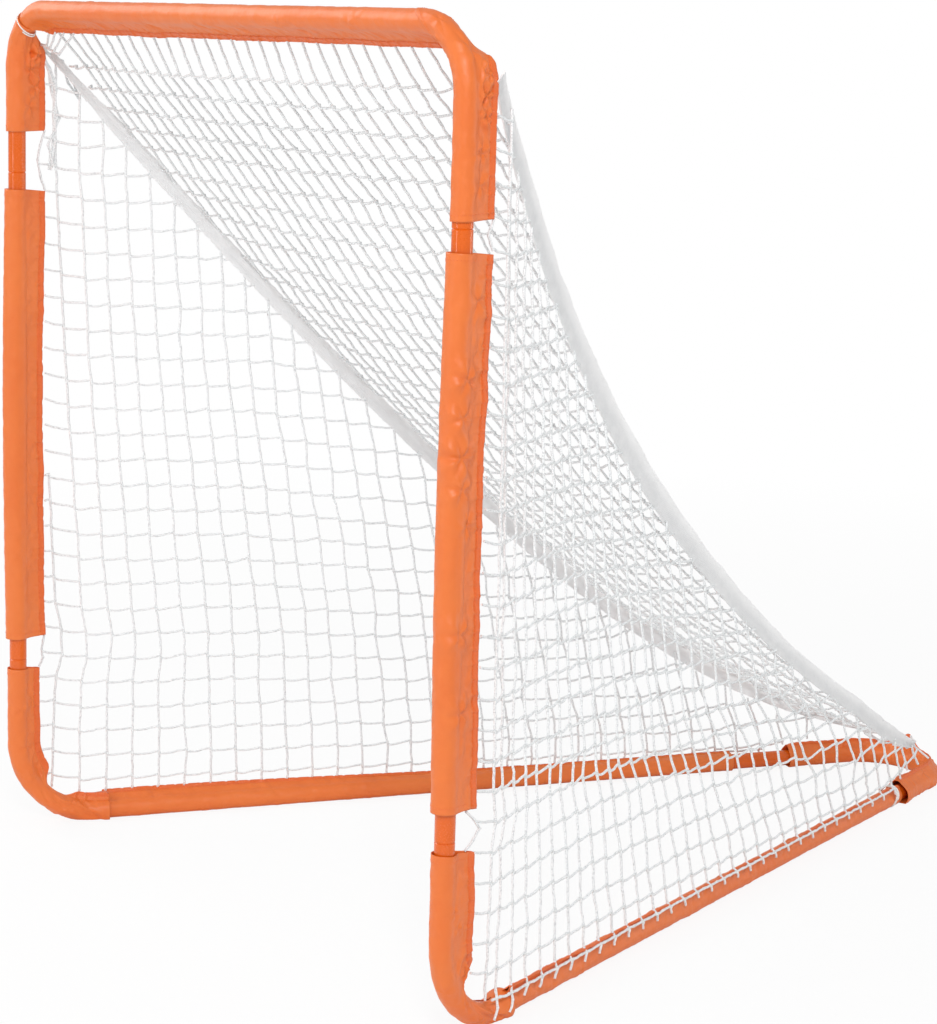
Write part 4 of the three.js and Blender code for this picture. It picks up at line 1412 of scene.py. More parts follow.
    def crossbar(self) -> Sleeve:
        """The crossbar's sleeve, whose ends run under the corners' ones."""
        plan = self.plan
        route = ArchRoute(plan, 0.5 * pi * plan.top_bend * plan.tie_share, 0.045)
        section = Section(plan.sleeve_radius - 0.0002, plan.crossbar_flap, 0.011, loose=0.0003, pinch=0.0012)
        chooser = np.random.default_rng(51)
        folds = []
        for _ in range(46):
            along = chooser.uniform(0.05, route.length - 0.04)
            low = chooser.uniform(0.01, 0.02)
            lean = chooser.uniform(0.016, 0.034)
            depth = chooser.choice((-1.0, 1.0)) * chooser.uniform(0.0006, 0.0016)
            width = chooser.uniform(0.0022, 0.0042)
            rise = chooser.uniform(0.018, 0.034)
            folds.append(Fold((along, low), (along - lean, low + rise), width, depth))
            folds.append(Fold((along, section.girth - low), (along - lean, section.girth - low - rise), width, depth))
        length = route.length
        return Sleeve(
            "crossbar_sleeve", Body.TOP_ARCH, route, 0.0, length, section,
            flap_at=self._steady(plan.crossbar_flap_direction),
            open_at=lambda d: np.minimum(vramp(d, 0.006, 0.034), lerp(0.75, 1.0, vramp(length - d, 0.0, 0.02))),
            seed=53, folds=tuple(folds), dents_per_metre=20.0, dent_depth=0.002, wave=0.0014,
        )

    def base_corner(self, side: Side) -> Sleeve:
        """A base corner's sleeve, whose flap ends in the bend."""
        plan = self.plan
        route = self.routes.base_elbow(side)
        head = plan.spigot_length + 0.014
        foot = route.first + route.arc + 0.13 - plan.base_bend + 0.006
        outward = np.array(-plan.rail_inward(side))
        bend, arc = route.first, route.arc
        back = np.array(plan.rail_direction(side))
        near = side is Side.RIGHT

        def flap_at(along: Array) -> Array:
            """The flap points back on the post and up on the rail."""
            share = np.clip((along - bend) / arc, 0.0, 1.0)[:, None]
            inner = back * np.cos(share * pi / 2) + np.array(UP) * np.sin(share * pi / 2)
            lean = plan.splay * (1.0 - share)
            return inner * np.cos(lean) + outward * np.sin(lean)

        folds = tuple(
            Fold((bend + first * arc, low), (bend + last * arc, high), width, depth)
            for first, low, last, high, width, depth in (
                (0.3, 0.01, 0.52, 0.034, 0.003, 0.006), (0.34, 0.016, 0.58, 0.04, 0.0032, -0.0072),
                (0.58, 0.024, 0.98, 0.05, 0.0032, -0.007), (0.62, 0.018, 1.02, 0.042, 0.0034, 0.0056),
                (0.8, 0.016, 1.08, 0.06, 0.0036, -0.005), (0.66, 0.07, 1.06, 0.052, 0.005, 0.0034),
                (0.1, 0.014, 0.34, 0.044, 0.005, 0.0034),
            )
        )
        return Sleeve(
            f"{side.hand}_base_corner_sleeve", Body.BASE, route, head, foot,
            self._post_section(plan.post_flap if near else 0.036, 0.001),
            flap_at=flap_at,
            open_at=lambda d: 1.0 - vramp(d, bend + 0.36 * arc, bend + 0.52 * arc) + (
                0.0 if near else vramp(d, bend + 0.68 * arc, bend + 0.84 * arc)
            ),
            reach_at=lambda d: lerp(
                plan.post_flap if near else 0.036, 0.02 if near else plan.rail_flap + 0.002,
                smooth(vramp(d, bend + 0.3 * arc, bend + (0.5 if near else 0.68) * arc)),
            ),
            slit=(bend + 0.46 * arc, bend + 0.98 * arc, 0.06) if near else None,
            seed=61 + side.value, folds=folds,
            dents_per_metre=56.0, dent_depth=0.0034 if near else 0.003, dent_size=0.02,
            head=Hem(droop=0.007 if near else 0.004), foot=Hem(lap=0.0056, lap_length=0.034),
        )

    def rail(self, side: Side) -> Sleeve:
        """A rail's sleeve, with a short flap that leans outwards."""
        plan = self.plan
        near = side is Side.RIGHT
        end = plan.rear_joint + (0.036 if near else -0.062)
        route = Route(plan.rail_axis(side, 0.1303), plan.rail_axis(side, end))
        tall, low, end_low = (0.0305, 0.0285, 0.0185) if near else (0.03, 0.019, 0.019)
        return Sleeve(
            f"{side.hand}_rail_sleeve", Body.BASE, route, 0.0, route.length,
            Section(plan.sleeve_radius, plan.rail_flap, 0.005, loose=0.0005, pinch=0.0006),
            flap_at=self._steady(plan.rail_flap_direction(side)), seed=71 + side.value,
            reach_at=lambda d: lerp(
                lerp(tall, low, smooth(vramp(d, 0.05, 0.75))), end_low,
                smooth(vramp(d, route.length - 0.06, route.length - 0.024)),
            ),
            dents_per_metre=22.0, dent_depth=0.0022, dent_size=0.026,
            wave=0.0014, pucker=0.0005, step=0.0026, around=72,
        )

    def rear(self) -> Sleeve:
        """The rear bend's loose sleeve, with open mouths."""
        plan = self.plan
        route = self.routes.rear()
        start = plan.spigot_length + 0.041
        end, middle = route.length - start, route.length / 2
        folds = tuple(
            Fold((middle + shift, low), (middle + shift + lean, low + rise), 0.0048, depth)
            for shift, low, lean, rise, depth in (
                (-0.06, 0.012, 0.02, 0.022, -0.005), (-0.03, 0.014, 0.01, 0.026, 0.0042),
                (0.000, 0.01, -0.006, 0.028, -0.0048), (0.026, 0.014, -0.014, 0.022, 0.004),
                (0.06, 0.01, -0.022, 0.024, -0.004), (-0.088, 0.008, 0.012, 0.026, -0.0056),
                (-0.104, 0.01, -0.01, 0.026, 0.0048), (-0.124, 0.008, 0.016, 0.024, -0.005),
                (-0.046, 0.006, -0.014, 0.022, -0.0056), (-0.014, 0.006, 0.01, 0.024, -0.0056),
            )
        )
        return Sleeve(
            "rear_apex_sleeve", Body.BASE, route, start, end,
            Section(0.0148, plan.rear_flap - 0.002, 0.005, loose=0.0012, pinch=0.001, aside=-0.0022),
            flap_at=self._steady(UP),
            open_at=lambda d: lerp(0.5, 1.0, vramp(np.minimum(d - start, end - d), 0.0, 0.02)),
            reach_at=lambda d: plan.rear_flap - 0.002 + 0.019 * np.exp(-(((d - middle + 0.004) / 0.017) ** 2)),
            seed=83, folds=folds, dents_per_metre=70.0, dent_depth=0.004, dent_size=0.018,
            wave=0.0016, pucker=0.0005,
            head=Hem(lap=0.003, lap_length=0.05), foot=Hem(lap=0.0044, lap_length=0.06),
        )

    def build(self) -> None:
        """Makes every sleeve and sews it."""
        sleeves = [self.crossbar(), self.rear(), self._left_top(), self._right_top()]
        for side in Side:
            sleeves += [self.post(side), self.base_corner(side), self.rail(side)]
        for sleeve in sleeves:
            fix(sleeve.build(self.finishes.cloth), sleeve.body, sleeve.node)
            fix(sleeve.stitches(self.finishes.thread), sleeve.body)


# Net


@dataclass
class NetPanel(Assembly):
    """What the net's panels share: slack, small waves and the split where the goal comes apart."""

    split_height: float = 0.6
    cord_radius: float = 0.00172
    parts: int = 6
    sag: float = 0.0012
    slack: float = 0.0019
    jog: float = 0.0019
    knot: float = 1.3

    def _stretches(self, cord: CordRun, upper: bool) -> list[CordRun]:
        """The stretches of a cord above or below the split, which share the point at it."""
        made: list[CordRun] = []
        current = CordRun([], [])
        for index, point in enumerate(cord.points):
            inside = (point.z >= self.split_height) == upper
            if index and inside != bool(current.points):
                before = cord.points[index - 1]
                share = (self.split_height - before.z) / (point.z - before.z)
                current.points.append(before.lerp(point, share))
                current.swells.append(lerp(cord.swells[index - 1], cord.swells[index], share))
            if inside:
                current.points.append(point)
                current.swells.append(cord.swells[index])
            elif current.points:
                made.append(current)
                current = CordRun([], [])
        made.append(current)
        return [run for run in made if len(run.points) > 1]

    def _weave(self, name: str, cords: Sequence[CordRun], upper: bool) -> Object:
        """Makes the cords above or below the split into one mesh piece."""
        runs = [run for cord in cords for run in self._stretches(cord, upper)]
        drawn = cord_curve(f"{name}_line", runs, self.cord_radius, 1, self.finishes.net)
        data = bpy.data.meshes.new_from_object(drawn.evaluated_get(bpy.context.evaluated_depsgraph_get()))
        bpy.data.curves.remove(drawn.data)
        data.name = name
        data.shade_smooth()
        return show(name, data)

    def wander(self, place: Vector, seed: float, size: float) -> Vector:
        """A small steady drift of a point, the same for every cord that crosses there."""
        at = place * 21.0 + Vector((seed, seed * 2.0, seed * 3.0))
        return noise.noise_vector(at) * size

    def string(
        self, knots: Sequence[Vector], seed: float, droop: float = 1.0, jog: float = 0.0, thick: float = 1.0
    ) -> CordRun:
        """Draws a cord through its crossings.

        Args:
            knots: The crossings that it passes.
            seed: Makes its small waves its own.
            droop: How much it sags between crossings.
            jog: How far it steps down at each crossing.
            thick: Its thickness over the usual.

        Returns:
            The cord.
        """
        points: list[Vector] = []
        swells: list[float] = []
        last = len(knots) - 2
        for index, (a, b) in enumerate(zip(knots, knots[1:])):
            low = jog if index else 0.0
            high = jog if index < last else 0.0
            span = (b - a).length
            for step in range(self.parts + (1 if jog else 0)):
                share = step / self.parts
                bow = sin(pi * share)
                point = a.lerp(b, share)
                point.z += lerp(-low, high, smooth(share)) - self.sag * droop * bow * min(span / 0.034, 1.0)
                ripple = noise.noise_vector(point * 95.0 + Vector((seed, 0.0, 0.0)))
                points.append(point + ripple * 0.0015 * bow)
                crossing = (step == 0 and index) or (step == self.parts and index < last)
                swells.append(self.knot if crossing else thick)
        points.append(knots[-1].copy())
        swells.append(thick)
        return CordRun(points, swells)

    def finish(self, node: str, cords: Sequence[CordRun], post: Body) -> None:
        """Makes a panel's two pieces, below and above the split, and bakes their places, fixed to no body."""
        lower = self._weave(f"{node}_lower", cords, False)
        upper = self._weave(f"{node}_upper", cords, True)
        hang(lower, post, node)
        hang(upper, post)


@dataclass(frozen=True)
class Spread:
    """Where a side panel's upright cords stand, from the ground up."""

    heights: tuple[float, ...]
    first: tuple[float, ...]
    pitch: tuple[float, ...]
    growth: tuple[float, ...]
    low_row: float
    row_pitch: float
    upper_gap: tuple[float, float, float, float]
    lower_gap: tuple[float, float, float, float]

    def reach(self, column: int, height: float) -> float:
        """The reach of an upright cord at a height."""
        first, pitch, growth = (
            float(np.interp(height, self.heights, values)) for values in (self.first, self.pitch, self.growth)
        )
        kink = 0.012 * 0.68 ** max(column, 0) * exp(-(((height - 0.268) / 0.034) ** 2))
        return first + pitch * column + growth * column * column + kink


SPREADS = {
    Side.LEFT: Spread(
        heights=(0.06, 0.295, 0.718, 0.988), first=(0.054, 0.061, 0.0396, 0.028),
        pitch=(0.041, 0.0377, 0.0326, 0.0315), growth=(0.0, 0.0, 0.0, 0.0), low_row=0.019, row_pitch=0.0382,
        upper_gap=(0.954, 1.032, 0.0, -0.011), lower_gap=(0.243, 0.287, 0.0, -0.005),
    ),
    Side.RIGHT: Spread(
        heights=(0.043, 0.21, 0.257, 0.76, 1.1), first=(0.07, 0.0775, 0.078, 0.0775, 0.077),
        pitch=(0.0332, 0.032, 0.0306, 0.0305, 0.0305), growth=(0.00015, 0.0001, 0.00009, 0.00006, 0.0),
        low_row=0.031, row_pitch=0.0378,
        upper_gap=(0.954, 0.982, 0.0, -0.007), lower_gap=(0.243, 0.284, -0.014, 0.007),
    ),
}


class SideNet(NetPanel):
    """One side panel, from the post's flap to the seam and down to the rail's flap."""

    def lay_out(self, side: Side) -> None:
        """Takes the seam's line and the side's own spread."""
        plan = self.plan
        edge = np.array([
            plan.beside_seam(share, 0.0025 - plan.band_half(share)) for share in np.linspace(0.0, 1.0, 400)
        ])
        self.edge_reach, self.edge_inward, self.edge_height = edge.T
        self.side, self.spread = side, SPREADS[side]
        self.front_edge = plan.post_flap * cos(plan.splay) - 0.001
        self.last_reach = plan.seam_foot()[0] - 0.035

    def _top(self, reach: float) -> float:
        """Height of the seam band's lower edge at a reach."""
        return float(np.interp(reach, self.edge_reach, self.edge_height))

    def _foot(self, reach: float) -> tuple[float, float]:
        """Inward distance and height of the panel's foot at a reach."""
        plan = self.plan
        rear_start = plan.rear_joint + 0.02
        over = smooth(ramp(reach, rear_start, rear_start + 0.05))
        rail_inward = -plan.rail_flap * sin(plan.rail_flap_lean)
        if self.side is Side.RIGHT:
            rail_height = lerp(0.0405, 0.0385, ramp(reach, 0.2, 0.9))
        else:
            rail_height = lerp(0.04, 0.03, smooth(ramp(reach, 0.2, 0.85)))
        bend = plan.base_bend
        if reach < bend:
            axis = plan.axis_foot + bend - sqrt(bend**2 - (bend - max(reach, 0.036)) ** 2)
            rail_height = max(rail_height, axis + 0.0155)
        rear_height = plan.axis_foot + plan.rear_flap + 0.001
        return lerp(rail_inward, 0.0, over), lerp(rail_height, rear_height, over)

    def _place(self, reach: float, height: float) -> Vector:
        """A point of the panel's sheet, with its slack."""
        plan = self.plan
        seam_inward = float(np.interp(reach, self.edge_reach, self.edge_inward))
        foot_inward, foot_height = self._foot(reach)
        up = ramp(height, foot_height, max(self._top(reach), foot_height + 0.01))
        inward = lerp(foot_inward, seam_inward, up)
        inward = lerp(-reach * tan(plan.splay), inward, smooth(ramp(reach, 0.046, 0.1)))
        point = plan.beside_rail(self.side, reach, inward, height)
        edge = min(ramp(reach, 0.046, 0.12), ramp(height, foot_height, foot_height + 0.06))
        share = ramp(reach, 0.05, 1.3)
        loose = self.slack * (1.0 + 2.4 * share * share) * edge
        return point + self.wander(point, 3.0 + self.side.value, loose * 2.0)

    def _bulge(self, height: float) -> float:
        """How far the net's front edge lies behind the post's flap: out in the gaps, in on the left base corner."""
        total = -0.0095 if self.side is Side.LEFT and height < self.spread.lower_gap[0] else 0.0
        for low, high, ends, middle in (self.spread.upper_gap, self.spread.lower_gap):
            inside = sin(pi * ramp(height, low, high))
            total += lerp(ends if low - 0.005 < height < high + 0.005 else 0.0, middle, inside)
        return total

    def _row_height(self, row: int, reach: float) -> float:
        """Height of a level cord at a reach: it drops off the flap's edge and dips towards the rear."""
        base = self._foot(0.15)[1] + self.spread.low_row + self.spread.row_pitch * row
        height = base + 0.012 * (1.0 - smooth(ramp(reach, 0.044, 0.088)))
        height -= 0.02 * max(reach - 0.085, 0.0) + 0.1 * max(reach - 0.35, 0.0) * ramp(base, 0.05, 0.5)
        near_band = 1.0 - ramp(self._top(reach) - height, 0.0, 0.09)
        return height + 0.026 * near_band * ramp(reach, 0.9, 1.02)

    def _crossing(self, column: int, row: int) -> tuple[float, float]:
        """Reach and height where two cords cross."""
        reach = 0.2
        for _ in range(4):
            reach = self.spread.reach(column, self._row_height(row, reach))
        return reach, self._row_height(row, reach)

    def _row_end(self, row: int) -> float | None:
        """Reach at which a level cord meets the seam's band."""
        reach = self.front_edge
        while reach < self.last_reach:
            if self._row_height(row, reach) > self._top(reach):
                return reach
            reach += 0.002
        return None

    def _column_top(self, column: int) -> float:
        """Height at which an upright cord meets the seam's band."""
        low, high = 0.03, self.plan.axis_top
        for _ in range(24):
            middle = (low + high) / 2
            if middle < self._top(self.spread.reach(column, middle)):
                low = middle
            else:
                high = middle
        return low

    def _tail(self, reach: float) -> list[Vector]:
        """The cord's end, over the outer face of the rail's flap to its stitch hole."""
        plan, side = self.plan, self.side
        foot = self._foot(reach)[1]
        if reach > plan.rear_joint + 0.01 or reach < 0.09:
            return []
        lean = lerp(-0.013, 0.004, ramp(reach, 0.12, 0.55))
        drop = lerp(0.02, 0.012, ramp(reach, 0.2, 0.6))
        ends = (
            ((lean, -0.0195, 0.01), (lean * 0.4, -0.0192, 0.024)) if reach < 0.16
            else ((lean, -0.0178, foot - drop), (lean * 0.3, -0.018, foot - drop * 0.4))
        )
        return [plan.beside_rail(side, reach + shift, inward, height) for shift, inward, height in ends]

    def _border(self) -> list[CordRun]:
        """The edge cord where the sleeves leave it free."""
        cords = []
        for seed, (low, high, _, _) in enumerate((self.spread.upper_gap, self.spread.lower_gap)):
            heights = np.linspace(low - 0.004, high + 0.004, 5)
            knots = [self._place(self.front_edge + self._bulge(height), float(height)) for height in heights]
            cords.append(self.string(knots, 40.0 + seed, 0.0))
        knots = []
        for reach in np.linspace(0.088, self.plan.rear_joint + 0.004, 62):
            drop = lerp(0.0085, 0.0035, ramp(reach, 0.14, 0.55)) - 0.004 * (1.0 - ramp(reach, 0.088, 0.13))
            height = self._foot(reach)[1] - drop + 0.0012 * noise.noise(Vector((reach * 40.0, 7.0, 0.0)))
            knots.append(self.plan.beside_rail(self.side, float(reach), -0.0166, height))
        cords.append(self.string(knots, 44.0, 0.0))
        return cords

    def _gathered(self) -> list[CordRun]:
        """The cords that the corner's tie draws together, on the left."""
        if self.side is Side.RIGHT:
            return []
        bunches = (
            ((0.031, 1.161), (0.045, 1.149), (0.066, 1.132), (0.086, 1.106), (0.105, 1.083)),
            ((0.031, 1.161), (0.049, 1.127), (0.056, 1.092), (0.058, 1.057), (0.056, 1.02), (0.055, 0.985)),
        )
        cords = []
        chooser = np.random.default_rng(97)
        for bunch in bunches:
            for strand in range(4):
                knots = []
                for index, (reach, height) in enumerate(bunch):
                    off = chooser.normal(size=3) * (0.0012 + 0.0009 * index)
                    inward = -reach * tan(self.plan.splay)
                    knots.append(self.plan.beside_rail(self.side, reach, inward, height) + Vector(off))
                cords.append(self.string(knots, 70.0 + strand, 0.0))
        return cords

    def _rows(self) -> tuple[list[CordRun], dict[int, list[Vector]]]:
        """The level cords, and the crossings that each upright cord shares with them."""
        cords: list[CordRun] = []
        shared: dict[int, list[Vector]] = {}
        for row in range(31):
            edge_height = self._row_height(row, self.front_edge)
            start = self.front_edge + self._bulge(edge_height)
            end = self._row_end(row)
            if end is not None and end < start + 0.012:
                break
            knots = [self._place(start, self._row_height(row, start))]
            limit = end if end is not None else self.last_reach
            for column in range(40):
                reach, height = self._crossing(column, row)
                if reach < start + 0.006 or height < self._foot(reach)[1] + 0.004:
                    continue
                if reach > limit - 0.005:
                    break
                knots.append(self._place(reach, height))
                shared.setdefault(column, []).append(knots[-1])
            if end is not None:
                share = float(np.interp(end, self.edge_reach, np.linspace(0.0, 1.0, 400)))
                edge = self.plan.beside_seam(share, 0.0035 - self.plan.band_half(share))
                knots.append(self.plan.beside_rail(self.side, *edge))
            if len(knots) > 1:
                cords.append(self.string(knots, 5.0 + 0.7 * row, jog=self.jog))
        return cords, shared

    def build(self, side: Side) -> None:
        """Strings the panel."""
        self.lay_out(side)
        cords, shared = self._rows()
        for column, knots in shared.items():
            foot_height = 0.04
            for _ in range(3):
                reach = self.spread.reach(column, foot_height)
                foot_height = self._foot(reach)[1]
            if reach < self.last_reach + 0.03:
                knots = self._tail(reach) + [self._place(reach, foot_height + 0.0012)] + knots
            top = self._column_top(column)
            top_reach = self.spread.reach(column, top)
            if top_reach > self.front_edge + 0.003:
                end = self._place(top_reach, top + 0.001)
                if (knots[-1] - end).length < 0.008:
                    knots = knots[:-1]
                knots = knots + [end]
            if len(knots) > 1:
                cords.append(self.string(knots, 0.3 * column, 0.0, thick=1.05))
        cords += self._border() + self._gathered()
        self.finish(f"{side.hand}_side_net", cords, side.post)


@dataclass
class BackNet(NetPanel):
    """The back panel, from the crossbar's flap down between the two seams."""

    depth: float = 0.022
    across_pitch: float = 0.032
    down_pitch: float = 0.04
    first_row: float = 0.022

    def lay_out(self) -> None:
        """Takes the panel's edge from the seam."""
        plan = self.plan
        self.shares = np.linspace(0.0, 1.0, 500)
        rows = []
        for share in self.shares:
            reach, inward, height = plan.beside_seam(share, plan.band_half(share) - 0.0025)
            rows.append(plan.beside_rail(Side.RIGHT, reach, inward + 0.001, height))
        self.edge = np.array(rows)

    def _row(self, share: float) -> tuple[float, float, float]:
        """Half width, y and height of the panel at a seam share."""
        return tuple(float(np.interp(share, self.shares, self.edge[:, axis])) for axis in range(3))

    def _place(self, x: float, share: float) -> Vector:
        """A point of the panel's sheet, with its sag and slack."""
        half, y, z = self._row(share)
        part = min(abs(x) / half, 1.0)
        open_part = 1.0 - part * part
        lifted = open_part * (1.0 - smooth(ramp(share, 0.0, 0.11)))
        sag = self.depth * sin(pi * min(share * 0.9 + 0.08, 1.0)) * open_part
        point = Vector((x, y - 0.029 * lifted, z - sag + 0.005 * lifted))
        loose = self.slack * (1.0 + 3.4 * share * share) * ramp(1.0 - part, 0.0, 0.15)
        return point + self.wander(point, 9.0, loose * 2.0)

    def _levels(self) -> list[float]:
        """Seam shares at which the rows lie, a pitch apart down the slope."""
        shares: list[float] = []
        last = self._place(0.0, 0.0)
        step, wanted = 0.0, self.first_row
        while step < 0.985:
            step += 0.001
            here = self._place(0.0, step)
            if (here - last).length >= wanted:
                shares.append(step)
                last, wanted = here, self.down_pitch
        return shares

    def _edge_share(self, x: float) -> float:
        """The seam share at which the panel is as wide as a column's x."""
        return float(np.interp(-abs(x), -self.edge[:, 0], self.shares))

    def _gathered(self) -> list[CordRun]:
        """The cords that run from the crossbar's flap into the left corner's tie."""
        plan = self.plan
        flap = plan.crossbar_flap_direction * (plan.crossbar_flap - 0.004)
        tie = plan.beside_rail(Side.LEFT, 0.033, -0.01, 1.16)
        cords = []
        for index, x in enumerate((-0.47, -0.452, -0.428, -0.398)):
            head = Vector((x, plan.post_depth + flap.y, plan.axis_top + flap.z))
            low = tie.lerp(head, 0.5) + Vector((0.0, 0.004, -0.012 - 0.004 * index))
            cords.append(self.string([tie, low, head], 80.0 + index, 0.5))
        return cords

    def build(self) -> None:
        """Strings the panel."""
        self.lay_out()
        plan = self.plan
        flap = plan.crossbar_flap_direction * (plan.crossbar_flap - 0.002)
        head_y, head_z = plan.post_depth + flap.y, plan.axis_top + flap.z
        levels, cords = self._levels(), self._gathered()
        pitch = self.across_pitch
        for row, share in enumerate(levels):
            half, _, _ = self._row(share)
            count = int(half / pitch)
            places = [pitch * column for column in range(-count, count + 1)]
            if half - count * pitch < 0.006:
                places = places[1:-1]
            knots = [self._place(x, share) for x in [-half, *places, half]]
            cords.append(self.string(knots, 20.0 + 0.9 * row, jog=self.jog))
        half_columns = int(0.475 / pitch)
        for column in range(-half_columns, half_columns + 1):
            x = column * pitch
            knots = [Vector((x, head_y, head_z))]
            for share in levels:
                half, _, _ = self._row(share)
                if abs(x) < half - 0.004:
                    knots.append(self._place(x, share))
                else:
                    edge = self._edge_share(x)
                    knots.append(self._place(copysign(self._row(edge)[0], x), edge))
                    break
            if (knots[-1] - knots[-2]).length < 0.006:
                del knots[-2]
            if len(knots) > 1:
                cords.append(self.string(knots, 60.0 + column, 0.3))
        self.finish("back_net", cords, Body.LEFT_POST)


# Seam bands


@dataclass
class SeamBand(Assembly):
    """One flat band of webbing from a top corner to the rear point."""

    thickness: float = 0.0018
    length: float = 1.8
    width: float = 0.028
    steps: int = 420
    strands: int = 10
    split_share: float = 0.34
    lead: float = 0.002
    near_extra: float = 0.0065

    def _at(self, side: Side, share: float, across: float) -> Vector:
        """A point of the band at or past its upper end."""
        edge = noise.noise(Vector((share * 60.0, across * 3.0, side.value))) * 0.0012
        extra = self.near_extra * (1.0 + across) * sin(pi * ramp(share, -0.05, 0.62))
        edge += extra if side is Side.RIGHT else 0.0
        fray = noise.noise(Vector((share * 420.0, across * 2.0, side.value))) * 0.0012 * across * across
        half = self.plan.band_half(share)
        if side is Side.LEFT:
            half *= lerp(0.6, 1.0, smooth(ramp(share, 0.02, 0.07)))
        reach, inward, height = self.plan.beside_seam(share, across * half + edge + fray)
        shift = 0.009 if side is Side.RIGHT else 0.003
        reach -= shift * (1.0 - smooth(ramp(share, 0.0, 0.09)))
        curl = 0.0022 * noise.noise(Vector((share * 35.0, across, 4.0 + side.value)))
        return self.plan.beside_rail(side, reach, inward + curl, height)

    def _surface(self, side: Side, share: float, across: float) -> Vector:
        """A point of the band."""
        if share >= 0.0:
            return self._at(side, share, across)
        start = self._at(side, 0.0, across * self.plan.band_half(share) / self.plan.band_half(0.0))
        return start + (self._at(side, 0.0, 0.0) - self._at(side, 0.02, 0.0)) * (-share / 0.02)

    def _piece(self, side: Side, name: str, start: float, end: float) -> Object:
        """One stretch of the band."""
        share = end - start
        mesh = cloth_grid(max(int(self.steps * share), 4), self.strands, self.length * share, self.width)
        for vert in mesh.verts:
            vert.co = self._surface(side, lerp(start, end, vert.co.x + 0.5), vert.co.y * 2.0)
        bmesh.ops.recalc_face_normals(mesh, faces=mesh.faces)
        made = piece(name, mesh, self.finishes.webbing[side])
        thicken(made, self.thickness, 0.0)
        made.data.set_sharp_from_angle(angle=radians(35.0))
        return made

    def build(self, side: Side) -> None:
        """Makes the band's two stretches and hangs them with the net."""
        node = f"{side.hand}_seam_band"
        upper = self._piece(side, f"{node}_upper", -self.lead, self.split_share)
        lower = self._piece(side, f"{node}_lower", self.split_share, 1.0)
        hang(upper, side.post)
        hang(lower, side.post, node)


# Ties


@dataclass
class Ties(Assembly):
    """The two white cords: one gathers the left top corner, one lashes the right rail's rear joint."""

    corner_diameter: float = 0.0021
    lashing_diameter: float = 0.0024
    corner_tilt: float = 0.55

    @staticmethod
    def _wound(
        route: Route, middle: float, facing: Vector, radii: tuple[float, float], turns: float, spread: float,
        first: float, tilt: float = 0.0,
    ) -> list[Vector]:
        """Points wound round a route.

        Args:
            route: The route that the cord goes round.
            middle: Distance along the route of the windings' middle.
            facing: The way in which the windings stand off furthest.
            radii: The windings' radius that way, and elsewhere.
            turns: How many times it goes round.
            spread: How far the windings run along the route.
            first: The angle at which they start, from the facing way.
            tilt: How far their facing side lies back along the route, over their radius.

        Returns:
            The points.
        """
        count = int(turns * 28)
        points = []
        for step in range(count + 1):
            share = step / count
            angle = first + 2 * pi * turns * share
            station = route.at(middle + spread * (share - 0.5) - tilt * radii[1] * cos(angle))
            out = (facing - station.along * facing.dot(station.along)).normalized()
            across = station.along.cross(out)
            radius = lerp(radii[1], radii[0], max(cos(angle), 0.0) ** 2)
            points.append(station.point + out * radius * cos(angle) + across * radius * sin(angle))
        return points

    def _cord(self, node: str, points: list[Vector], diameter: float, body: Body) -> None:
        """Args:
            node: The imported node.
            points: The line that it follows.
            diameter: The cord's thickness.
            body: The body that it rides on.
        """
        run = CordRun(points, [1.0] * len(points))
        made = cord_curve(f"{node}_cord", [run], diameter / 2, 3, self.finishes.cord)
        fix(made, body, node)

    def corner(self) -> None:
        """Winds the corner's tie round the gathered cloth."""
        route = self.routes.top_elbow(Side.LEFT)
        middle = route.first + self.plan.tie_share * route.arc
        points = self._wound(route, middle, BACK, (0.0176, 0.0158), 1.7, 0.007, -2.2, self.corner_tilt)
        self._cord("left_corner_tie", points, self.corner_diameter, Body.TOP_ARCH)

    def lashing(self) -> None:
        """Winds the lashing round the end of the right rail's sleeve."""
        plan, side, first = self.plan, Side.RIGHT, 1.0
        start, end = (plan.beside_rail(side, reach, 0.0, plan.axis_foot + 0.0006) for reach in (first, 1.4))
        middle, flap = plan.rear_joint + 0.01 - first, plan.rail_flap_direction(side)
        points = self._wound(Route(start, end), middle, flap, (0.0218, 0.0152), 2.4, 0.009, -1.4)
        lowest = self.lashing_diameter / 2 + 0.0002
        points = [Vector((point.x, point.y, max(point.z, lowest))) for point in points]
        self._cord("right_rail_lashing", points, self.lashing_diameter, Body.BASE)

    def build(self) -> None:
        """Makes both ties."""
        self.corner()
        self.lashing()


# Studio


@dataclass(frozen=True)
class PhotoCamera:
    """The photograph's camera, fitted to the frame's outlines."""

    focal_pixels: float = 2587.51
    image_height: float = 1024.0
    sensor: float = 36.0
    heading: float = 0.90333
    pitch: float = 0.18424
    roll: float = 0.03022
    right: float = 2.8317
    ahead: float = -1.79835
    height: float = 1.19701

    def build(self, plan: GoalPlan) -> None:
        """Places the camera and makes it the scene's."""
        ahead = Vector((
            -sin(self.heading) * cos(self.pitch),
            cos(self.heading) * cos(self.pitch),
            -sin(self.pitch),
        ))
        level = Vector((cos(self.heading), sin(self.heading), 0.0))
        above = level.cross(ahead)
        right = level * cos(self.roll) + above * sin(self.roll)
        top = above * cos(self.roll) - level * sin(self.roll)
        data = bpy.data.cameras.new("photo_camera")
        data.sensor_width, data.clip_end = self.sensor, 60.0
        data.lens = self.focal_pixels * self.sensor / self.image_height
        made = show("photo_camera", data)
        turn = Matrix((right, top, -ahead)).transposed().to_4x4()
        place = Vector((self.right, self.ahead + plan.post_depth, self.height))
        made.matrix_world = Matrix.Translation(place) @ turn
        bpy.context.scene.camera = made


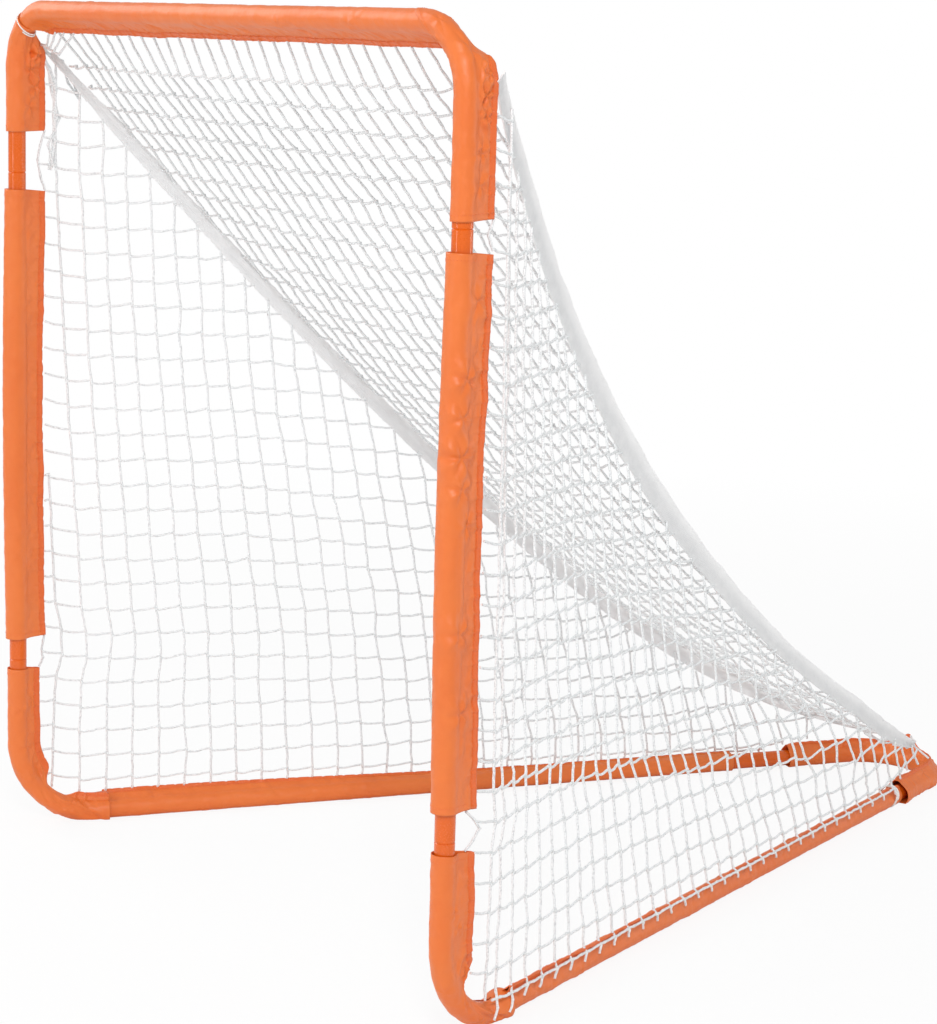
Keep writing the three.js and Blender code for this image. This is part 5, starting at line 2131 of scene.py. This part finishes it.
@dataclass(frozen=True)
class Studio:
    """A plain pale floor under plain soft light."""

    floor_half: float = 30.0
    floor_colour: Colour = from_srgb(0.97, 0.97, 0.97)
    key_power: float = 106.0
    fill_power: float = 58.0
    strip_power: float = 20.0
    sky: float = 0.54
    glow_near: float = 0.88
    near: float = 1.3
    far: float = 3.4

    @staticmethod
    def _seen_directly(builder: NodeBuilder) -> NodeSocket:
        """A mask of the rays that should meet plain white."""
        path = builder.add("LightPath").outputs
        return builder.math("MAXIMUM", path["Is Camera Ray"], path["Is Transmission Ray"])

    def _world(self) -> None:
        """White where it is seen, and soft grey light elsewhere."""
        world = bpy.data.worlds.new("studio_world")
        bpy.context.scene.world = world
        world.use_nodes = True
        builder = NodeBuilder(world.node_tree)
        seen = builder.tree.nodes["Background"]
        builder.feed(seen, "Color", WHITE)
        light = builder.add("Background", {"Color": WHITE, "Strength": self.sky})
        builder.cover("World Output", self._seen_directly(builder), light.outputs[0], seen.outputs[0])

    def _floor(self) -> None:
        """A wide pale floor that keeps the goal's shadow."""
        mesh = bmesh.new()
        bmesh.ops.create_grid(mesh, x_segments=1, y_segments=1, size=self.floor_half)
        colour = (*self.floor_colour, 1.0)
        builder = MaterialBuilder("studio_floor", Base_Color=colour, Roughness=0.95, Specular_IOR_Level=0.0)
        place = builder.add("TexCoord").outputs["Object"]
        away = builder.add("VectorMath", {0: place}, operation="LENGTH").outputs["Value"]
        ends = {"From Min": self.near, "From Max": self.far, "To Min": self.glow_near, "To Max": 1.0}
        spread = builder.add("MapRange", {"Value": away, **ends}).outputs["Result"]
        mask = builder.math("MULTIPLY", self._seen_directly(builder), spread)
        builder.cover("Material Output", mask, builder.shader.outputs[0], builder.add("Emission").outputs[0])
        piece("studio_floor", mesh, builder.material)

    def _lamp(self, name: str, place: Vector, size: float, power: float, height: float = 0.0) -> None:
        """Adds a soft lamp that looks at the goal's middle.

        Args:
            name: The lamp's name.
            place: Where it stands.
            size: Its width.
            power: Its power in watts.
            height: Its height, if it isn't square.
        """
        data = bpy.data.lights.new(name, "AREA")
        data.size, data.energy = size, power
        if height:
            data.shape, data.size_y = "RECTANGLE", height
        made = show(name, data)
        made.location = place
        made.rotation_euler = (Vector((0.0, 0.0, 0.5)) - place).to_track_quat("-Z", "Y").to_euler()

    def build(self) -> None:
        """Sets the floor, the world and the lamps."""
        bpy.context.scene.view_settings.view_transform = "Standard"
        self._world()
        self._floor()
        self._lamp("key_lamp", Vector((3.5, -2.9, 3.5)), 1.0, self.key_power)
        self._lamp("front_strip", Vector((-0.1, -4.6, 1.0)), 0.3, self.strip_power, 2.4)
        self._lamp("rear_strip", Vector((2.2, 3.2, 1.0)), 0.3, self.strip_power, 2.4)
        self._lamp("fill_lamp", Vector((-3.2, -2.0, 2.6)), 2.4, self.fill_power)


def main() -> None:
    """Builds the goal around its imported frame."""
    logging.basicConfig(level=logging.INFO, format="%(message)s")
    noise.seed_set(NOISE_SEED)
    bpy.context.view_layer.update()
    plan = GoalPlan()
    PhotoCamera().build(plan)
    Studio().build()
    parts = plan, Routes(plan), Finishes()
    Ties(*parts).build()
    TubeFrame(*parts).build()
    SleeveSet(*parts).build()
    side_net, band = SideNet(*parts), SeamBand(*parts)
    for side in Side:
        side_net.build(side)
        band.build(side)
    BackNet(*parts).build()


if __name__ == "__main__":
    main()
